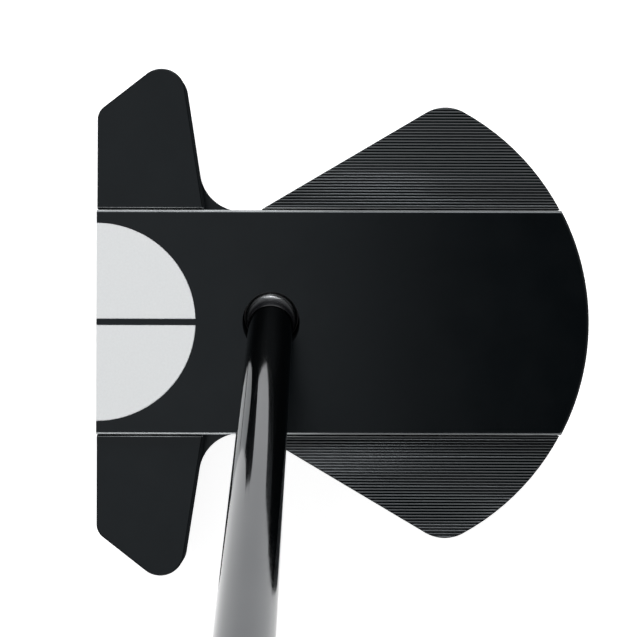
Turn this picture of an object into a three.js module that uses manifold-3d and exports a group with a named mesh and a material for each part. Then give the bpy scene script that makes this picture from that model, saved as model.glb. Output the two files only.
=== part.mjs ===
// A right-handed, centre-shafted mallet putter, in millimetres.
// The origin is the middle of the sole's contact face, under the centre of the head's round back edge.
// +Z is up at address, the face looks towards -Y, and the heel and the golfer are on the +X side.
// The head is a milled body, with wings at the face and ribbed fans at the back,
// and a raised bridge along its middle.
// The shaft, its socket and the grip share one axis, which leans towards the golfer by the lie angle.

import * as THREE from "three";
import { mergeVertices } from "three/addons/utils/BufferGeometryUtils.js";
import Module from "manifold-3d";

const wasm = await Module();
wasm.setup();

// ---- Driving dimensions -------------------------------------------------------------------------------

const degrees = THREE.MathUtils.degToRad;
const GAP = 0.3; // clearance between neighbours that would otherwise touch
const CUT = 5; // how far a cutting tool runs past the surface that it leaves
const PAST_HEAD = 100; // a distance that clears the head in any direction
const OVERLAP = 0.5; // how far joined solids run into each other

// Head, in plan
const BACK_RADIUS = 51.9; // round back edge, centred on the origin
const FACE_TO_CENTRE = 53.8; // top edge of the face to the origin
const LOFT = degrees(3);
const CORNER_X = 45.45; // where the face's top edge meets the wing's slanted front edge
const WING_POINT = { x: 59.05, y: -36.35 }; // the wing's tip before it is rounded
const WING_ROOT_Y = -31.0; // where the wing's back edge meets the bridge
const CORNER_RADIUS = 3.5;
const WING_TIP_RADIUS = 5.2;
const NOTCH_RADIUS = 9.2; // floor-level fillet between the wing and the bridge
const FAN_ROOT_Y = -18.4; // where the fan's front edge leaves the bridge
const FAN_ROOT_RADIUS = 2;
const FAN_EDGE_ANGLE = degrees(30.57); // the fan's front edge, from the face-to-back direction
const FAN_TIP_RADIUS = 8.3;

// Head, in height
const SOLE_RIM_Z = 0.4; // the body's rim stands clear of the ground, and the sole plate touches it
const FLOOR_Z = 15.7; // floor of the bridge's channel, and top of the notch fillets
const DECK_Z = 24; // top of the wings and fans
const CROWN_Z = 26; // top of the bridge
const SOLE_BEVEL = 3.2;
const DECK_BEVEL = 0.3;
const SIDE_DRAFT = { inset: 1.2, height: FLOOR_Z - SOLE_RIM_Z }; // the sides lean in below the channel floor

// Bridge
const BRIDGE_HALF = 24.1;
const CHANNEL_HALF = BRIDGE_HALF + GAP;
const BRIDGE_BEVEL = 0.45;
const BRIDGE_POCKET = { half: 13, depth: 6.4, front: [-46, -27], back: [-3, 42] }; // hollows, front to back
const GASKET = { recess: 1.0, thickness: 0.7, lift: 0.1, inset: 3, rim: 3, screwHole: 2.2, boreGap: 1 };

// V-shaped grooves of the fans, side by side from the bridge to the tip
const GROOVE_PITCH = 0.635;
const GROOVE_WIDTH = 0.56;
const GROOVE_DEPTH = 0.15;
const FIRST_GROOVE_X = CHANNEL_HALF + 0.75;
const GROOVES_END_X = 46.6;

// Alignment inlays: two halves of a disc as wide as a golf ball
const BALL_RADIUS = 21.335;
const SIGHT_LINE = 1.2; // dark line between the halves
const INLAY_THICKNESS = 1.2;
const INLAY_CLEARANCE = 0.08;
const INLAY_SINK = 0.05; // its top lies this far below the crown

// Face insert
const INSERT = { half: 31, low: 4.5, high: 21.5, radius: 4, thickness: 2.4 };
const INSERT_TAPE = { thickness: 0.5, gap: 0.1, inset: 2 };
const INSERT_POCKET_DEPTH = 3.3;

// Sole
const PLATE_THICKNESS = 2.5;
const PLATE_REBATE = PLATE_THICKNESS + GAP; // height of the recess that takes the plate
const PLATE_CORNERS = [
  { x: 31.5, y: -50.5 },
  { x: 31.5, y: -37.2 },
  { x: 19, y: -30 },
  { x: 19, y: -19 },
  { x: 39.6, y: 16 },
];
const PLATE_CORNER_RADIUS = 3;
const PLATE_BACK_RADIUS = 46.5;
const PLATE_BACK_START = degrees(43);
const POCKET_TOP_Z = 12.5;
const POCKET_INSET = 4.5; // land that the plate rests on, round the pocket
const SCREW_BOSS_RADIUS = 3.2;
const SOLE_SCREW = { shank: 1.25, head: 2.3, low: 0.15, rimHigh: 0.35, headHigh: 1.3, high: 7.5 };
const SOLE_SCREW_HEX = { radius: 0.9, high: 1.1 };
const BRIDGE_SCREW = { shank: 1.5, head: 2.75, headHeight: 2.6, length: 11 };
const BRIDGE_SCREW_HEX = { radius: 1.4, depth: 1.5 };
const BRIDGE_SCREW_SPOTS = [
  [16, -41],
  [-16, -41],
  [16, 26],
  [-16, 26],
];
const SOLE_SCREW_SPOTS = [
  [28.0, -46.8],
  [-28.0, -46.8],
  [15.5, -23],
  [-15.5, -23],
  [35.2, 19],
  [-35.2, 19],
];

// Threaded sole weights
const WEIGHT = { x: 40, y: -44, flange: 6.6, flangeHeight: 4.5, boss: 4.6, bossHeight: 8, lift: 0.9 };
const WEIGHT_BEVEL = 0.5;
const WEIGHT_HEADROOM = 1; // from the end of the boss to the end of its hole
const WEIGHT_SEAL = { tube: 0.5, clearance: 0.05 };
const WEIGHT_SOCKET = { radius: 2.2, depth: 3.2 };

// Shaft line: distances along it start where its axis crosses the crown
const SHAFT_Y = -16.3;
const LIE_LEAN = degrees(20); // a lie of 70 degrees
const CLUB_LENGTH = 863.6; // 34 inches, from the ground to the end of the grip
const GROUND_S = -CROWN_Z / Math.cos(LIE_LEAN);
const CLUB_END_S = CLUB_LENGTH + GROUND_S;
const TIP_RADIUS = 4.72;
const TAPER_END_RADIUS = 7.2;
const BUTT_RADIUS = 7.6;
const SHAFT_WALL = 0.55;
const TIP_S = -17;
const TAPER_START_S = 150;
const TAPER_END_S = 560;
const BUTT_S = CLUB_END_S - 5;
const BORE_RADIUS = 6.15;

// Shaft socket, its bolt, and the ferrule
const SOCKET = { outer: 5.85, inner: TIP_RADIUS + 0.25, low: -20.8, seat: -17.4, high: -3.1 };
const SOCKET_BEVEL = 0.5;
const SOCKET_BOLT = { shank: 2, head: 3.4, headLow: -25.4, headHigh: -22.9, high: -18.0 };
const SOCKET_BOLT_HEX = { radius: 1.25, depth: 1.6 };
const SOCKET_SEAT_THICKNESS = 1.5; // web of the body that the bolt clamps the socket to
const SOCKET_BOSS_RADIUS = 9;
const BOLT_ACCESS_RADIUS = 5.2;
const FERRULE = { low: -2.75, high: 3.0, rim: 5.25, top: 4.95, inner: TIP_RADIUS + 0.1 };
const FERRULE_FOOT = { inset: 0.1, height: 0.3, rimHeight: 1.2 };
const TIP_PLUG = { low: TIP_S + 0.4, high: TIP_S + 9 };

// Grip
const GRIP_LENGTH = 265;
const GRIP_S = CLUB_END_S - GRIP_LENGTH;
const GRIP_LOW_RADIUS = 11.4;
const GRIP_HIGH_RADIUS = 14.4;
const GRIP_FLAT = 0.88; // the flat front's distance from the axis, as a share of the radius
const GRIP_SKIN = 0.9; // the sleeve's inside, as a share of its outside
const END_CAP_THICKNESS = 4.6;
const GRIP_CORE = { share: 0.97, clearance: 0.2, endGap: 1 }; // its size is a share of the sleeve's inside
const GRIP_TAPE = { thickness: 0.3, clearance: 0.05, endGap: 2 };

// Counterweight in the butt
const BUTT_INSERT = { length: 15, inner: 4.35, clearance: 0.2, sink: 0.1 };
const COUNTERWEIGHT = { stem: 4.0, stemLength: 38, head: 8.6, headHeight: 3.0, bevel: 0.6, sink: 0.2 };
const COUNTERWEIGHT_HEX = { radius: 3.0, depth: 2.2 };
const COUNTERWEIGHT_SEAL_TUBE = 0.45;
const END_CAP_ROOM = { head: 0.5, stem: 1.4 }; // clearance round the counterweight

// ---- Shape helpers ------------------------------------------------------------------------------------

const ROUND_SEGMENTS = 48;
const SMALL_ROUND_SEGMENTS = 24;
const DISC_SEGMENTS = 96;
const SEAL_SEGMENTS = { tube: 8, ring: 36 };
const SLIVER = 0.003; // edges and steps smaller than this are cleaned away

function toSolid(geometry) {
  const bare = geometry.clone();
  bare.deleteAttribute("normal");
  bare.deleteAttribute("uv");
  const merged = mergeVertices(bare, 1e-4);
  return new wasm.Manifold(
    new wasm.Mesh({
      numProp: 3,
      vertProperties: merged.attributes.position.array,
      triVerts: new Uint32Array(merged.index.array),
    }),
  );
}

function toGeometry(solid) {
  const mesh = solid.simplify(SLIVER).getMesh();
  const geometry = new THREE.BufferGeometry();
  geometry.setAttribute("position", new THREE.BufferAttribute(mesh.vertProperties, 3));
  geometry.setIndex(new THREE.BufferAttribute(mesh.triVerts, 1));
  geometry.computeVertexNormals();
  return geometry;
}

const joined = (solids) => solids.reduce((all, solid) => all.add(solid));
const cutBy = (solid, tools) => solid.subtract(joined(tools));

// A flat plate between two heights, from an outline in plan.
function plate(outline, low, high, curveSegments = 10) {
  const geometry = new THREE.ExtrudeGeometry(outline, {
    depth: high - low,
    bevelEnabled: false,
    curveSegments,
  });
  return toSolid(geometry.translate(0, 0, low));
}

// The same plate with both rims bevelled inside the outline, at 45 degrees unless the rise is given.
function bevelledPlate(outline, low, high, bevel, rise = bevel, curveSegments = 10) {
  const geometry = new THREE.ExtrudeGeometry(outline, {
    depth: high - low - 2 * rise,
    bevelThickness: rise,
    bevelSize: bevel,
    bevelOffset: -bevel,
    bevelSegments: 1,
    curveSegments,
  });
  return toSolid(geometry.translate(0, 0, low + rise));
}

function box(xLow, xHigh, yLow, yHigh, zLow, zHigh) {
  const geometry = new THREE.BoxGeometry(xHigh - xLow, yHigh - yLow, zHigh - zLow);
  geometry.translate((xLow + xHigh) / 2, (yLow + yHigh) / 2, (zLow + zHigh) / 2);
  return toSolid(geometry);
}

// A solid of revolution about Z, from [radius, height] pairs listed upwards along its outside.
function turned(profile, segments = ROUND_SEGMENTS) {
  const points = profile.map(([radius, height]) => new THREE.Vector2(radius, height));
  return toSolid(new THREE.LatheGeometry(points, segments).rotateX(Math.PI / 2));
}

// A plain round bar about Z.
const bar = (radius, low, high, segments = ROUND_SEGMENTS) =>
  turned([[0, low], [radius, low], [radius, high], [0, high]], segments);

// A round pipe about Z.
const pipe = (outer, inner, low, high, segments = ROUND_SEGMENTS) =>
  turned([[inner, low], [outer, low], [outer, high], [inner, high], [inner, low]], segments);

// A six-sided bar about Z, as wide across its corners as twice the radius.
const hexBar = (radius, low, high) => bar(radius, low, high, 6);

// Lays a solid made about Z along the shaft's line.
function onShaft(solid) {
  const place = new THREE.Matrix4().makeRotationY(LIE_LEAN);
  place.setPosition(0, SHAFT_Y, CROWN_Z);
  return solid.transform(place.elements);
}

// A polygon with each corner rounded, as arcs for an outline: [{x, y, r}, ...] in order.
function cornerArc(before, corner, after, radius) {
  const back = new THREE.Vector2(before.x - corner.x, before.y - corner.y).normalize();
  const ahead = new THREE.Vector2(after.x - corner.x, after.y - corner.y).normalize();
  const half = Math.acos(THREE.MathUtils.clamp(back.dot(ahead), -1, 1)) / 2;
  const middle = back.clone().add(ahead).normalize();
  const reach = radius / Math.sin(half);
  const centre = { x: corner.x + middle.x * reach, y: corner.y + middle.y * reach };
  const tangent = radius / Math.tan(half);
  const angleTo = (side) =>
    Math.atan2(corner.y + side.y * tangent - centre.y, corner.x + side.x * tangent - centre.x);
  const clockwise = back.cross(ahead) > 0;
  return { ...centre, radius, start: angleTo(back), end: angleTo(ahead), clockwise };
}

function roundedArcs(corners) {
  const count = corners.length;
  return corners.map((corner, i) =>
    cornerArc(corners[(i + count - 1) % count], corner, corners[(i + 1) % count], corner.r),
  );
}

function outlineOf(arcs) {
  const shape = new THREE.Shape();
  arcs.forEach((arc) => shape.absarc(arc.x, arc.y, arc.radius, arc.start, arc.end, arc.clockwise));
  shape.closePath();
  return shape;
}

const mirrored = (arc) => ({
  ...arc,
  x: -arc.x,
  start: Math.PI - arc.end,
  end: Math.PI - arc.start,
});

// An outline that is the same on the toe side as on the heel side, closed by an arc about the origin.
// The heel's arcs run from the face to where the back's arc starts.
function symmetricOutline(heelArcs, backRadius, start) {
  const back = { x: 0, y: 0, radius: backRadius, start, end: Math.PI - start, clockwise: false };
  return outlineOf([...heelArcs, back, ...heelArcs.map(mirrored).reverse()]);
}

// ---- Head ---------------------------------------------------------------------------------------------

const LOFT_RUN = CROWN_Z * Math.tan(LOFT);
const FACE_FOOT_Y = -FACE_TO_CENTRE - LOFT_RUN;
const WING_SLANT = (WING_POINT.x - CORNER_X) / (WING_POINT.y + FACE_TO_CENTRE); // widening per unit of depth

// The fan's tip: an arc that touches the front edge and the round back edge.
function fanTip(tipRadius, backRadius) {
  const edgeNormal = new THREE.Vector2(Math.cos(FAN_EDGE_ANGLE), -Math.sin(FAN_EDGE_ANGLE));
  const alongEdge = new THREE.Vector2(Math.sin(FAN_EDGE_ANGLE), Math.cos(FAN_EDGE_ANGLE));
  const edgeDistance = edgeNormal.dot(new THREE.Vector2(CHANNEL_HALF, FAN_ROOT_Y));
  const across = edgeDistance - tipRadius;
  const along = Math.sqrt((backRadius - tipRadius) ** 2 - across ** 2);
  const centre = edgeNormal.multiplyScalar(across).add(alongEdge.multiplyScalar(along));
  return {
    x: centre.x,
    y: centre.y,
    radius: tipRadius,
    start: -FAN_EDGE_ANGLE,
    end: Math.atan2(centre.y, centre.x),
    clockwise: false,
  };
}

function headOutline() {
  const faceMiddle = { x: 0, y: FACE_FOOT_Y };
  const faceCorner = { x: CORNER_X - LOFT_RUN * WING_SLANT, y: FACE_FOOT_Y };
  const notch = { x: CHANNEL_HALF, y: WING_ROOT_Y };
  const root = { x: CHANNEL_HALF, y: FAN_ROOT_Y };
  const tip = fanTip(FAN_TIP_RADIUS, BACK_RADIUS);
  const alongFan = { x: root.x + Math.sin(FAN_EDGE_ANGLE), y: root.y + Math.cos(FAN_EDGE_ANGLE) };
  const heelArcs = [
    cornerArc(faceMiddle, faceCorner, WING_POINT, CORNER_RADIUS),
    cornerArc(faceCorner, WING_POINT, notch, WING_TIP_RADIUS),
    cornerArc(WING_POINT, notch, root, NOTCH_RADIUS),
    cornerArc(notch, root, alongFan, FAN_ROOT_RADIUS),
    tip,
  ];
  return symmetricOutline(heelArcs, BACK_RADIUS, tip.end);
}

// Everything in front of the lofted face.
function inFrontOfFace() {
  const tool = new THREE.BoxGeometry(2 * PAST_HEAD, PAST_HEAD, 2 * PAST_HEAD);
  tool.translate(0, -PAST_HEAD / 2, 0).rotateX(-LOFT);
  return toSolid(tool.translate(0, -FACE_TO_CENTRE, CROWN_Z));
}

// What rounds the corner between the face and a wing's slanted edge, leaning back with the face.
function faceCornerTool(side) {
  const corner = { x: CORNER_X, y: -FACE_TO_CENTRE };
  const arc = cornerArc({ x: 0, y: corner.y }, corner, WING_POINT, CORNER_RADIUS);
  const sliver = new THREE.Shape();
  sliver.absarc(arc.x, arc.y, arc.radius, arc.start, arc.end, arc.clockwise);
  const far = arc.radius + CUT;
  sliver.lineTo(arc.x + far * Math.cos(arc.end), arc.y + far * Math.sin(arc.end));
  sliver.lineTo(arc.x + far * Math.cos(arc.start), arc.y + far * Math.sin(arc.start));
  sliver.closePath();
  const leanY = Math.tan(LOFT);
  const leanX = leanY * WING_SLANT;
  const lean = new THREE.Matrix4().set(
    1, 0, leanX, -leanX * CROWN_Z,
    0, 1, leanY, -leanY * CROWN_Z,
    0, 0, 1, 0,
    0, 0, 0, 1,
  );
  const tool = plate(sliver, -CUT, CROWN_Z + CUT).transform(lean.elements);
  return side > 0 ? tool : tool.mirror([1, 0, 0]);
}

// Puts a solid drawn with Y as depth behind the face, and Z as height above the ground, into the face.
function intoFace(geometry) {
  geometry.translate(0, 0, -CROWN_Z);
  return toSolid(geometry.rotateX(-LOFT).translate(0, -FACE_TO_CENTRE, CROWN_Z));
}

function facePanel(front, back, clearance) {
  const half = INSERT.half - clearance;
  const low = INSERT.low + clearance;
  const high = INSERT.high - clearance;
  const r = INSERT.radius - clearance;
  const corners = [
    { x: half, y: low, r },
    { x: half, y: high, r },
    { x: -half, y: high, r },
    { x: -half, y: low, r },
  ];
  const panel = new THREE.ExtrudeGeometry(outlineOf(roundedArcs(corners)), {
    depth: back - front,
    bevelEnabled: false,
    curveSegments: 4,
  });
  return intoFace(panel.rotateX(Math.PI / 2).translate(0, back, 0));
}

const facePocket = () => facePanel(-CUT, INSERT_POCKET_DEPTH, 0);

// The sole plate's outline, drawn in from its edge by an inset.
function soleOutline(inset) {
  const backRadius = PLATE_BACK_RADIUS - inset;
  const backCorner = {
    x: backRadius * Math.cos(PLATE_BACK_START),
    y: backRadius * Math.sin(PLATE_BACK_START),
  };
  const [front, wing, waist, root, tip] = PLATE_CORNERS;
  const corners = [
    { x: 0, y: front.y + inset },
    { x: front.x - inset, y: front.y + inset },
    { x: wing.x - inset, y: wing.y - inset / 2 },
    { x: waist.x - inset, y: waist.y - inset / 2 },
    { x: root.x - inset, y: root.y + inset / 2 },
    { x: tip.x - inset, y: tip.y },
    backCorner,
  ];
  const arcs = [];
  for (let i = 1; i < corners.length - 1; i++) {
    arcs.push(cornerArc(corners[i - 1], corners[i], corners[i + 1], PLATE_CORNER_RADIUS));
  }
  return symmetricOutline(arcs, backRadius, PLATE_BACK_START);
}

function bodyFrame() {
  const top = DECK_Z + PAST_HEAD;
  const soleEdge = bevelledPlate(headOutline(), SOLE_RIM_Z, top, SOLE_BEVEL);
  const drafted = bevelledPlate(headOutline(), SOLE_RIM_Z, top, SIDE_DRAFT.inset, SIDE_DRAFT.height);
  const deckEdge = bevelledPlate(headOutline(), -PAST_HEAD, DECK_Z, DECK_BEVEL);
  const block = soleEdge.intersect(drafted).intersect(deckEdge);
  const pocket = cutBy(plate(soleOutline(POCKET_INSET), -CUT, POCKET_TOP_Z), [
    socketBoss(),
    ...SOLE_SCREW_SPOTS.map(screwBoss),
  ]);
  const seatHigh = SOCKET.low - GAP;
  const headHigh = seatHigh - SOCKET_SEAT_THICKNESS;
  const shaped = cutBy(block, [
    box(-CHANNEL_HALF, CHANNEL_HALF, -PAST_HEAD, PAST_HEAD, FLOOR_Z, DECK_Z + CUT),
    ...[1, -1].map(notchStep),
    plate(soleOutline(0), -CUT, PLATE_REBATE),
    pocket,
  ]);
  const drilled = cutBy(shaped, [
    ...[1, -1].map(weightHole),
    ...SOLE_SCREW_SPOTS.map((spot) => soleScrewHole(spot)),
    ...BRIDGE_SCREW_SPOTS.map(([x, y]) => bridgeScrewHole(x, y)),
    onShaft(bar(SOCKET.outer + GAP, seatHigh, CUT)),
    onShaft(bar(SOCKET_BOLT.shank + GAP, -PAST_HEAD, CUT)),
    onShaft(bar(SOCKET_BOLT.head + GAP, -PAST_HEAD, headHigh)),
  ]);
  return cutBy(drilled, [1, -1].map(grooves))
    .subtract(facePocket())
    .subtract(inFrontOfFace())
    .subtract(joined([1, -1].map(faceCornerTool)));
}

// The wing stands above the notch fillet, with its back edge running straight to the bridge.
function notchStep(side) {
  const along = (distance) => {
    const length = Math.hypot(WING_POINT.x - CHANNEL_HALF, WING_POINT.y - WING_ROOT_Y);
    return {
      x: CHANNEL_HALF + ((WING_POINT.x - CHANNEL_HALF) * distance) / length,
      y: WING_ROOT_Y + ((WING_POINT.y - WING_ROOT_Y) * distance) / length,
    };
  };
  const end = along(NOTCH_RADIUS);
  const triangle = new THREE.Shape();
  triangle.moveTo(side * CHANNEL_HALF, WING_ROOT_Y);
  triangle.lineTo(side * end.x, end.y);
  triangle.lineTo(side * end.x, FAN_ROOT_Y - FAN_ROOT_RADIUS);
  triangle.lineTo(side * CHANNEL_HALF, FAN_ROOT_Y - FAN_ROOT_RADIUS);
  return plate(triangle, FLOOR_Z, DECK_Z + CUT);
}

const socketBoss = () =>
  onShaft(bar(SOCKET_BOSS_RADIUS, -PAST_HEAD, PAST_HEAD)).intersect(
    box(-PAST_HEAD, PAST_HEAD, -PAST_HEAD, PAST_HEAD, PLATE_REBATE, POCKET_TOP_Z + CUT),
  );

const screwBoss = ([x, y]) =>
  bar(SCREW_BOSS_RADIUS, PLATE_REBATE, POCKET_TOP_Z + CUT, SMALL_ROUND_SEGMENTS).translate(x, y, 0);

// A fan's grooves: V-shaped bars that run from its front edge to its back edge.
function grooves(side) {
  const half = GROOVE_WIDTH / 2;
  const above = 0.5; // how far the bars' tops stand over the deck
  const widen = (half * (GROOVE_DEPTH + above)) / GROOVE_DEPTH;
  const cuts = [];
  for (let x = FIRST_GROOVE_X; x < GROOVES_END_X; x += GROOVE_PITCH) {
    const vee = new THREE.Shape();
    vee.moveTo(0, -GROOVE_DEPTH);
    vee.lineTo(widen, above);
    vee.lineTo(-widen, above);
    vee.closePath();
    const cut = plate(vee, FAN_ROOT_Y - FAN_ROOT_RADIUS, BACK_RADIUS).rotate([90, 0, 180]);
    cuts.push(cut.translate(side * (x + half), 0, DECK_Z));
  }
  return joined(cuts);
}

function crownBridge() {
  const arcStart = Math.acos(BRIDGE_HALF / BACK_RADIUS);
  const outline = new THREE.Shape();
  outline.moveTo(-BRIDGE_HALF, FACE_FOOT_Y);
  outline.lineTo(BRIDGE_HALF, FACE_FOOT_Y);
  outline.absarc(0, 0, BACK_RADIUS, arcStart, Math.PI - arcStart, false);
  outline.closePath();
  const low = FLOOR_Z + GAP;
  const { half, depth, front, back } = BRIDGE_POCKET;
  const long = bevelledPlate(outline, -PAST_HEAD, CROWN_Z, BRIDGE_BEVEL, BRIDGE_BEVEL, 16);
  const bridge = cutBy(long, [
    box(-PAST_HEAD, PAST_HEAD, -PAST_HEAD, PAST_HEAD, -2 * PAST_HEAD, low),
    gasketRecess(),
    box(-half, half, ...front, low - CUT, low + depth),
    box(-half, half, ...back, low - CUT, low + depth),
    ...BRIDGE_SCREW_SPOTS.map(([x, y]) => bridgeScrewHole(x, y)),
    onShaft(bar(BORE_RADIUS, -PAST_HEAD, PAST_HEAD)),
    ...[1, -1].map((side) => inlayHalf(side, 0)),
  ]);
  return bridge.subtract(facePocket()).subtract(inFrontOfFace());
}

const gasketFront = BRIDGE_POCKET.front[0];
const gasketBack = BRIDGE_POCKET.back[1];

function gasketPlan(clearance) {
  const half = BRIDGE_HALF - GASKET.inset - clearance;
  return [-half, half, gasketFront + clearance, gasketBack - clearance];
}

const gasketRecess = () => box(...gasketPlan(0), FLOOR_Z - CUT, FLOOR_Z + GASKET.recess);

// A thin pad round the rim of the bridge's underside, open where the pockets, screws and shaft are.
function bridgeGasket() {
  const low = FLOOR_Z + GASKET.lift;
  const { half, front, back } = BRIDGE_POCKET;
  const { rim, screwHole, boreGap, thickness } = GASKET;
  return cutBy(box(...gasketPlan(GAP), low, low + thickness), [
    box(-half, half, front[0] + rim, front[1], low - CUT, low + CUT),
    box(-half, half, back[0], back[1] - rim, low - CUT, low + CUT),
    onShaft(bar(BORE_RADIUS + boreGap, -PAST_HEAD, PAST_HEAD)),
    ...BRIDGE_SCREW_SPOTS.map(([x, y]) => bar(screwHole, 0, CROWN_Z).translate(x, y, 0)),
  ]);
}

// One half of the alignment disc; the clearance is 0 for the pocket and more for the inlay.
function inlayHalf(side, clearance) {
  const radius = BALL_RADIUS - clearance;
  const inner = SIGHT_LINE / 2 + clearance;
  const lowest = CROWN_Z - INLAY_THICKNESS - (clearance ? 0 : GAP);
  const highest = clearance ? CROWN_Z - INLAY_SINK : CROWN_Z + CUT;
  const disc = bar(radius, lowest, highest, DISC_SEGMENTS).translate(0, -FACE_TO_CENTRE, 0);
  const low = side > 0 ? inner : -PAST_HEAD;
  const high = side > 0 ? PAST_HEAD : -inner;
  return disc.intersect(box(low, high, -PAST_HEAD, 0, lowest - CUT, highest + CUT));
}

const alignmentInlay = (side) => inlayHalf(side, INLAY_CLEARANCE).subtract(inFrontOfFace());

const faceInsert = () => facePanel(0, INSERT.thickness, GAP);

function faceInsertTape() {
  const front = INSERT.thickness + INSERT_TAPE.gap;
  return facePanel(front, front + INSERT_TAPE.thickness, INSERT_TAPE.inset);
}

const solePlate = () =>
  cutBy(plate(soleOutline(GAP), 0, PLATE_THICKNESS), [
    ...SOLE_SCREW_SPOTS.map((spot) => soleScrewHole(spot)),
    onShaft(bar(BOLT_ACCESS_RADIUS, -PAST_HEAD, PAST_HEAD)),
  ]);

// ---- Screws -------------------------------------------------------------------------------------------

// A countersunk sole screw: its head is flush with the sole and its shank goes up into the body.
function soleScrew([x, y], clearance = 0) {
  const { shank, head, rimHigh, headHigh, high } = SOLE_SCREW;
  const low = clearance ? -CUT : SOLE_SCREW.low;
  const profile = [
    [0, low],
    [head + clearance, low],
    [head + clearance, rimHigh],
    [shank + clearance, headHigh + clearance],
    [shank + clearance, high + clearance],
    [0, high + clearance],
  ];
  return turned(profile, SMALL_ROUND_SEGMENTS).translate(x, y, 0);
}

const soleScrewHole = (spot) => soleScrew(spot, GAP);

function soleScrewWithSocket(spot) {
  const hex = hexBar(SOLE_SCREW_HEX.radius, -CUT, SOLE_SCREW_HEX.high).translate(spot[0], spot[1], 0);
  return soleScrew(spot).subtract(hex);
}

// A cap screw that pulls the bridge down onto the floor from inside the pocket.
const bridgeScrewLow = POCKET_TOP_Z - BRIDGE_SCREW.headHeight - GASKET.lift;

function bridgeScrew([x, y]) {
  const { shank, head, headHeight, length } = BRIDGE_SCREW;
  const low = bridgeScrewLow;
  const screw = joined([
    bar(head, low, low + headHeight, SMALL_ROUND_SEGMENTS),
    bar(shank, low + headHeight - OVERLAP, low + length, SMALL_ROUND_SEGMENTS),
  ]);
  const hex = hexBar(BRIDGE_SCREW_HEX.radius, low - CUT, low + BRIDGE_SCREW_HEX.depth);
  return screw.subtract(hex).translate(x, y, 0);
}

function bridgeScrewHole(x, y) {
  const high = bridgeScrewLow + BRIDGE_SCREW.length + GAP;
  const hole = bar(BRIDGE_SCREW.shank + GAP, POCKET_TOP_Z - OVERLAP, high, SMALL_ROUND_SEGMENTS);
  return hole.translate(x, y, 0);
}

// ---- Sole weights -------------------------------------------------------------------------------------

const weightTop = WEIGHT.lift + WEIGHT.flangeHeight;
const sealLow = weightTop + WEIGHT_SEAL.clearance;

function weightHole(side) {
  const flangeTop = weightTop + 2 * WEIGHT_SEAL.tube + 2 * WEIGHT_SEAL.clearance;
  const hole = joined([
    bar(WEIGHT.flange + GAP, -CUT, flangeTop),
    bar(WEIGHT.boss + GAP, 0, weightTop + WEIGHT.bossHeight + WEIGHT_HEADROOM),
  ]);
  return hole.translate(side * WEIGHT.x, WEIGHT.y, 0);
}

function soleWeight(side) {
  const weight = joined([
    turned([
      [0, WEIGHT.lift],
      [WEIGHT.flange - WEIGHT_BEVEL, WEIGHT.lift],
      [WEIGHT.flange, WEIGHT.lift + WEIGHT_BEVEL],
      [WEIGHT.flange, weightTop],
      [0, weightTop],
    ]),
    bar(WEIGHT.boss, weightTop - OVERLAP, weightTop + WEIGHT.bossHeight),
  ]);
  const hex = hexBar(WEIGHT_SOCKET.radius, -CUT, WEIGHT.lift + WEIGHT_SOCKET.depth);
  return weight.subtract(hex).translate(side * WEIGHT.x, WEIGHT.y, 0);
}

// An O-ring about Z, resting at a height, round a stem.
function sealRing(stem, tube, low) {
  const middle = stem + tube + WEIGHT_SEAL.clearance;
  const ring = new THREE.TorusGeometry(middle, tube, SEAL_SEGMENTS.tube, SEAL_SEGMENTS.ring);
  return toSolid(ring.translate(0, 0, low + tube));
}

const weightSeal = (side) =>
  sealRing(WEIGHT.boss, WEIGHT_SEAL.tube, sealLow).translate(side * WEIGHT.x, WEIGHT.y, 0);

// ---- Shaft and socket ---------------------------------------------------------------------------------

// The shaft's wall from tip to butt: parallel at the tip, then a long taper, then a slight one.
const shaftProfile = (offset) => [
  [TIP_RADIUS + offset, TIP_S],
  [TIP_RADIUS + offset, TAPER_START_S],
  [TAPER_END_RADIUS + offset, TAPER_END_S],
  [BUTT_RADIUS + offset, BUTT_S],
];

function shaft() {
  const outside = shaftProfile(0);
  const inside = shaftProfile(-SHAFT_WALL).reverse();
  return onShaft(turned([...outside, ...inside, outside[0]]));
}

function shaftSocket() {
  const { outer, inner, low, seat, high } = SOCKET;
  const floorHole = SOCKET_BOLT.shank + GAP;
  return onShaft(
    turned([
      [floorHole, low],
      [outer - SOCKET_BEVEL, low],
      [outer, low + SOCKET_BEVEL],
      [outer, high],
      [inner, high],
      [inner, seat],
      [floorHole, seat],
      [floorHole, low],
    ]),
  );
}

function socketBolt() {
  const { shank, head, headLow, headHigh, high } = SOCKET_BOLT;
  const bolt = turned(
    [[0, headLow], [head, headLow], [head, headHigh], [shank, headHigh], [shank, high], [0, high]],
    SMALL_ROUND_SEGMENTS,
  );
  const hex = hexBar(SOCKET_BOLT_HEX.radius, headLow - CUT, headLow + SOCKET_BOLT_HEX.depth);
  return onShaft(bolt.subtract(hex));
}

const tipPlug = () => onShaft(bar(TIP_RADIUS - SHAFT_WALL - GAP, TIP_PLUG.low, TIP_PLUG.high));

function ferrule() {
  const { low, high, rim, top, inner } = FERRULE;
  const { inset, height, rimHeight } = FERRULE_FOOT;
  return onShaft(
    turned([
      [inner, low],
      [rim - inset, low],
      [rim, low + height],
      [rim, low + rimHeight],
      [top, high],
      [inner, high],
      [inner, low],
    ]),
  );
}

// ---- Grip ---------------------------------------------------------------------------------------------

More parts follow.
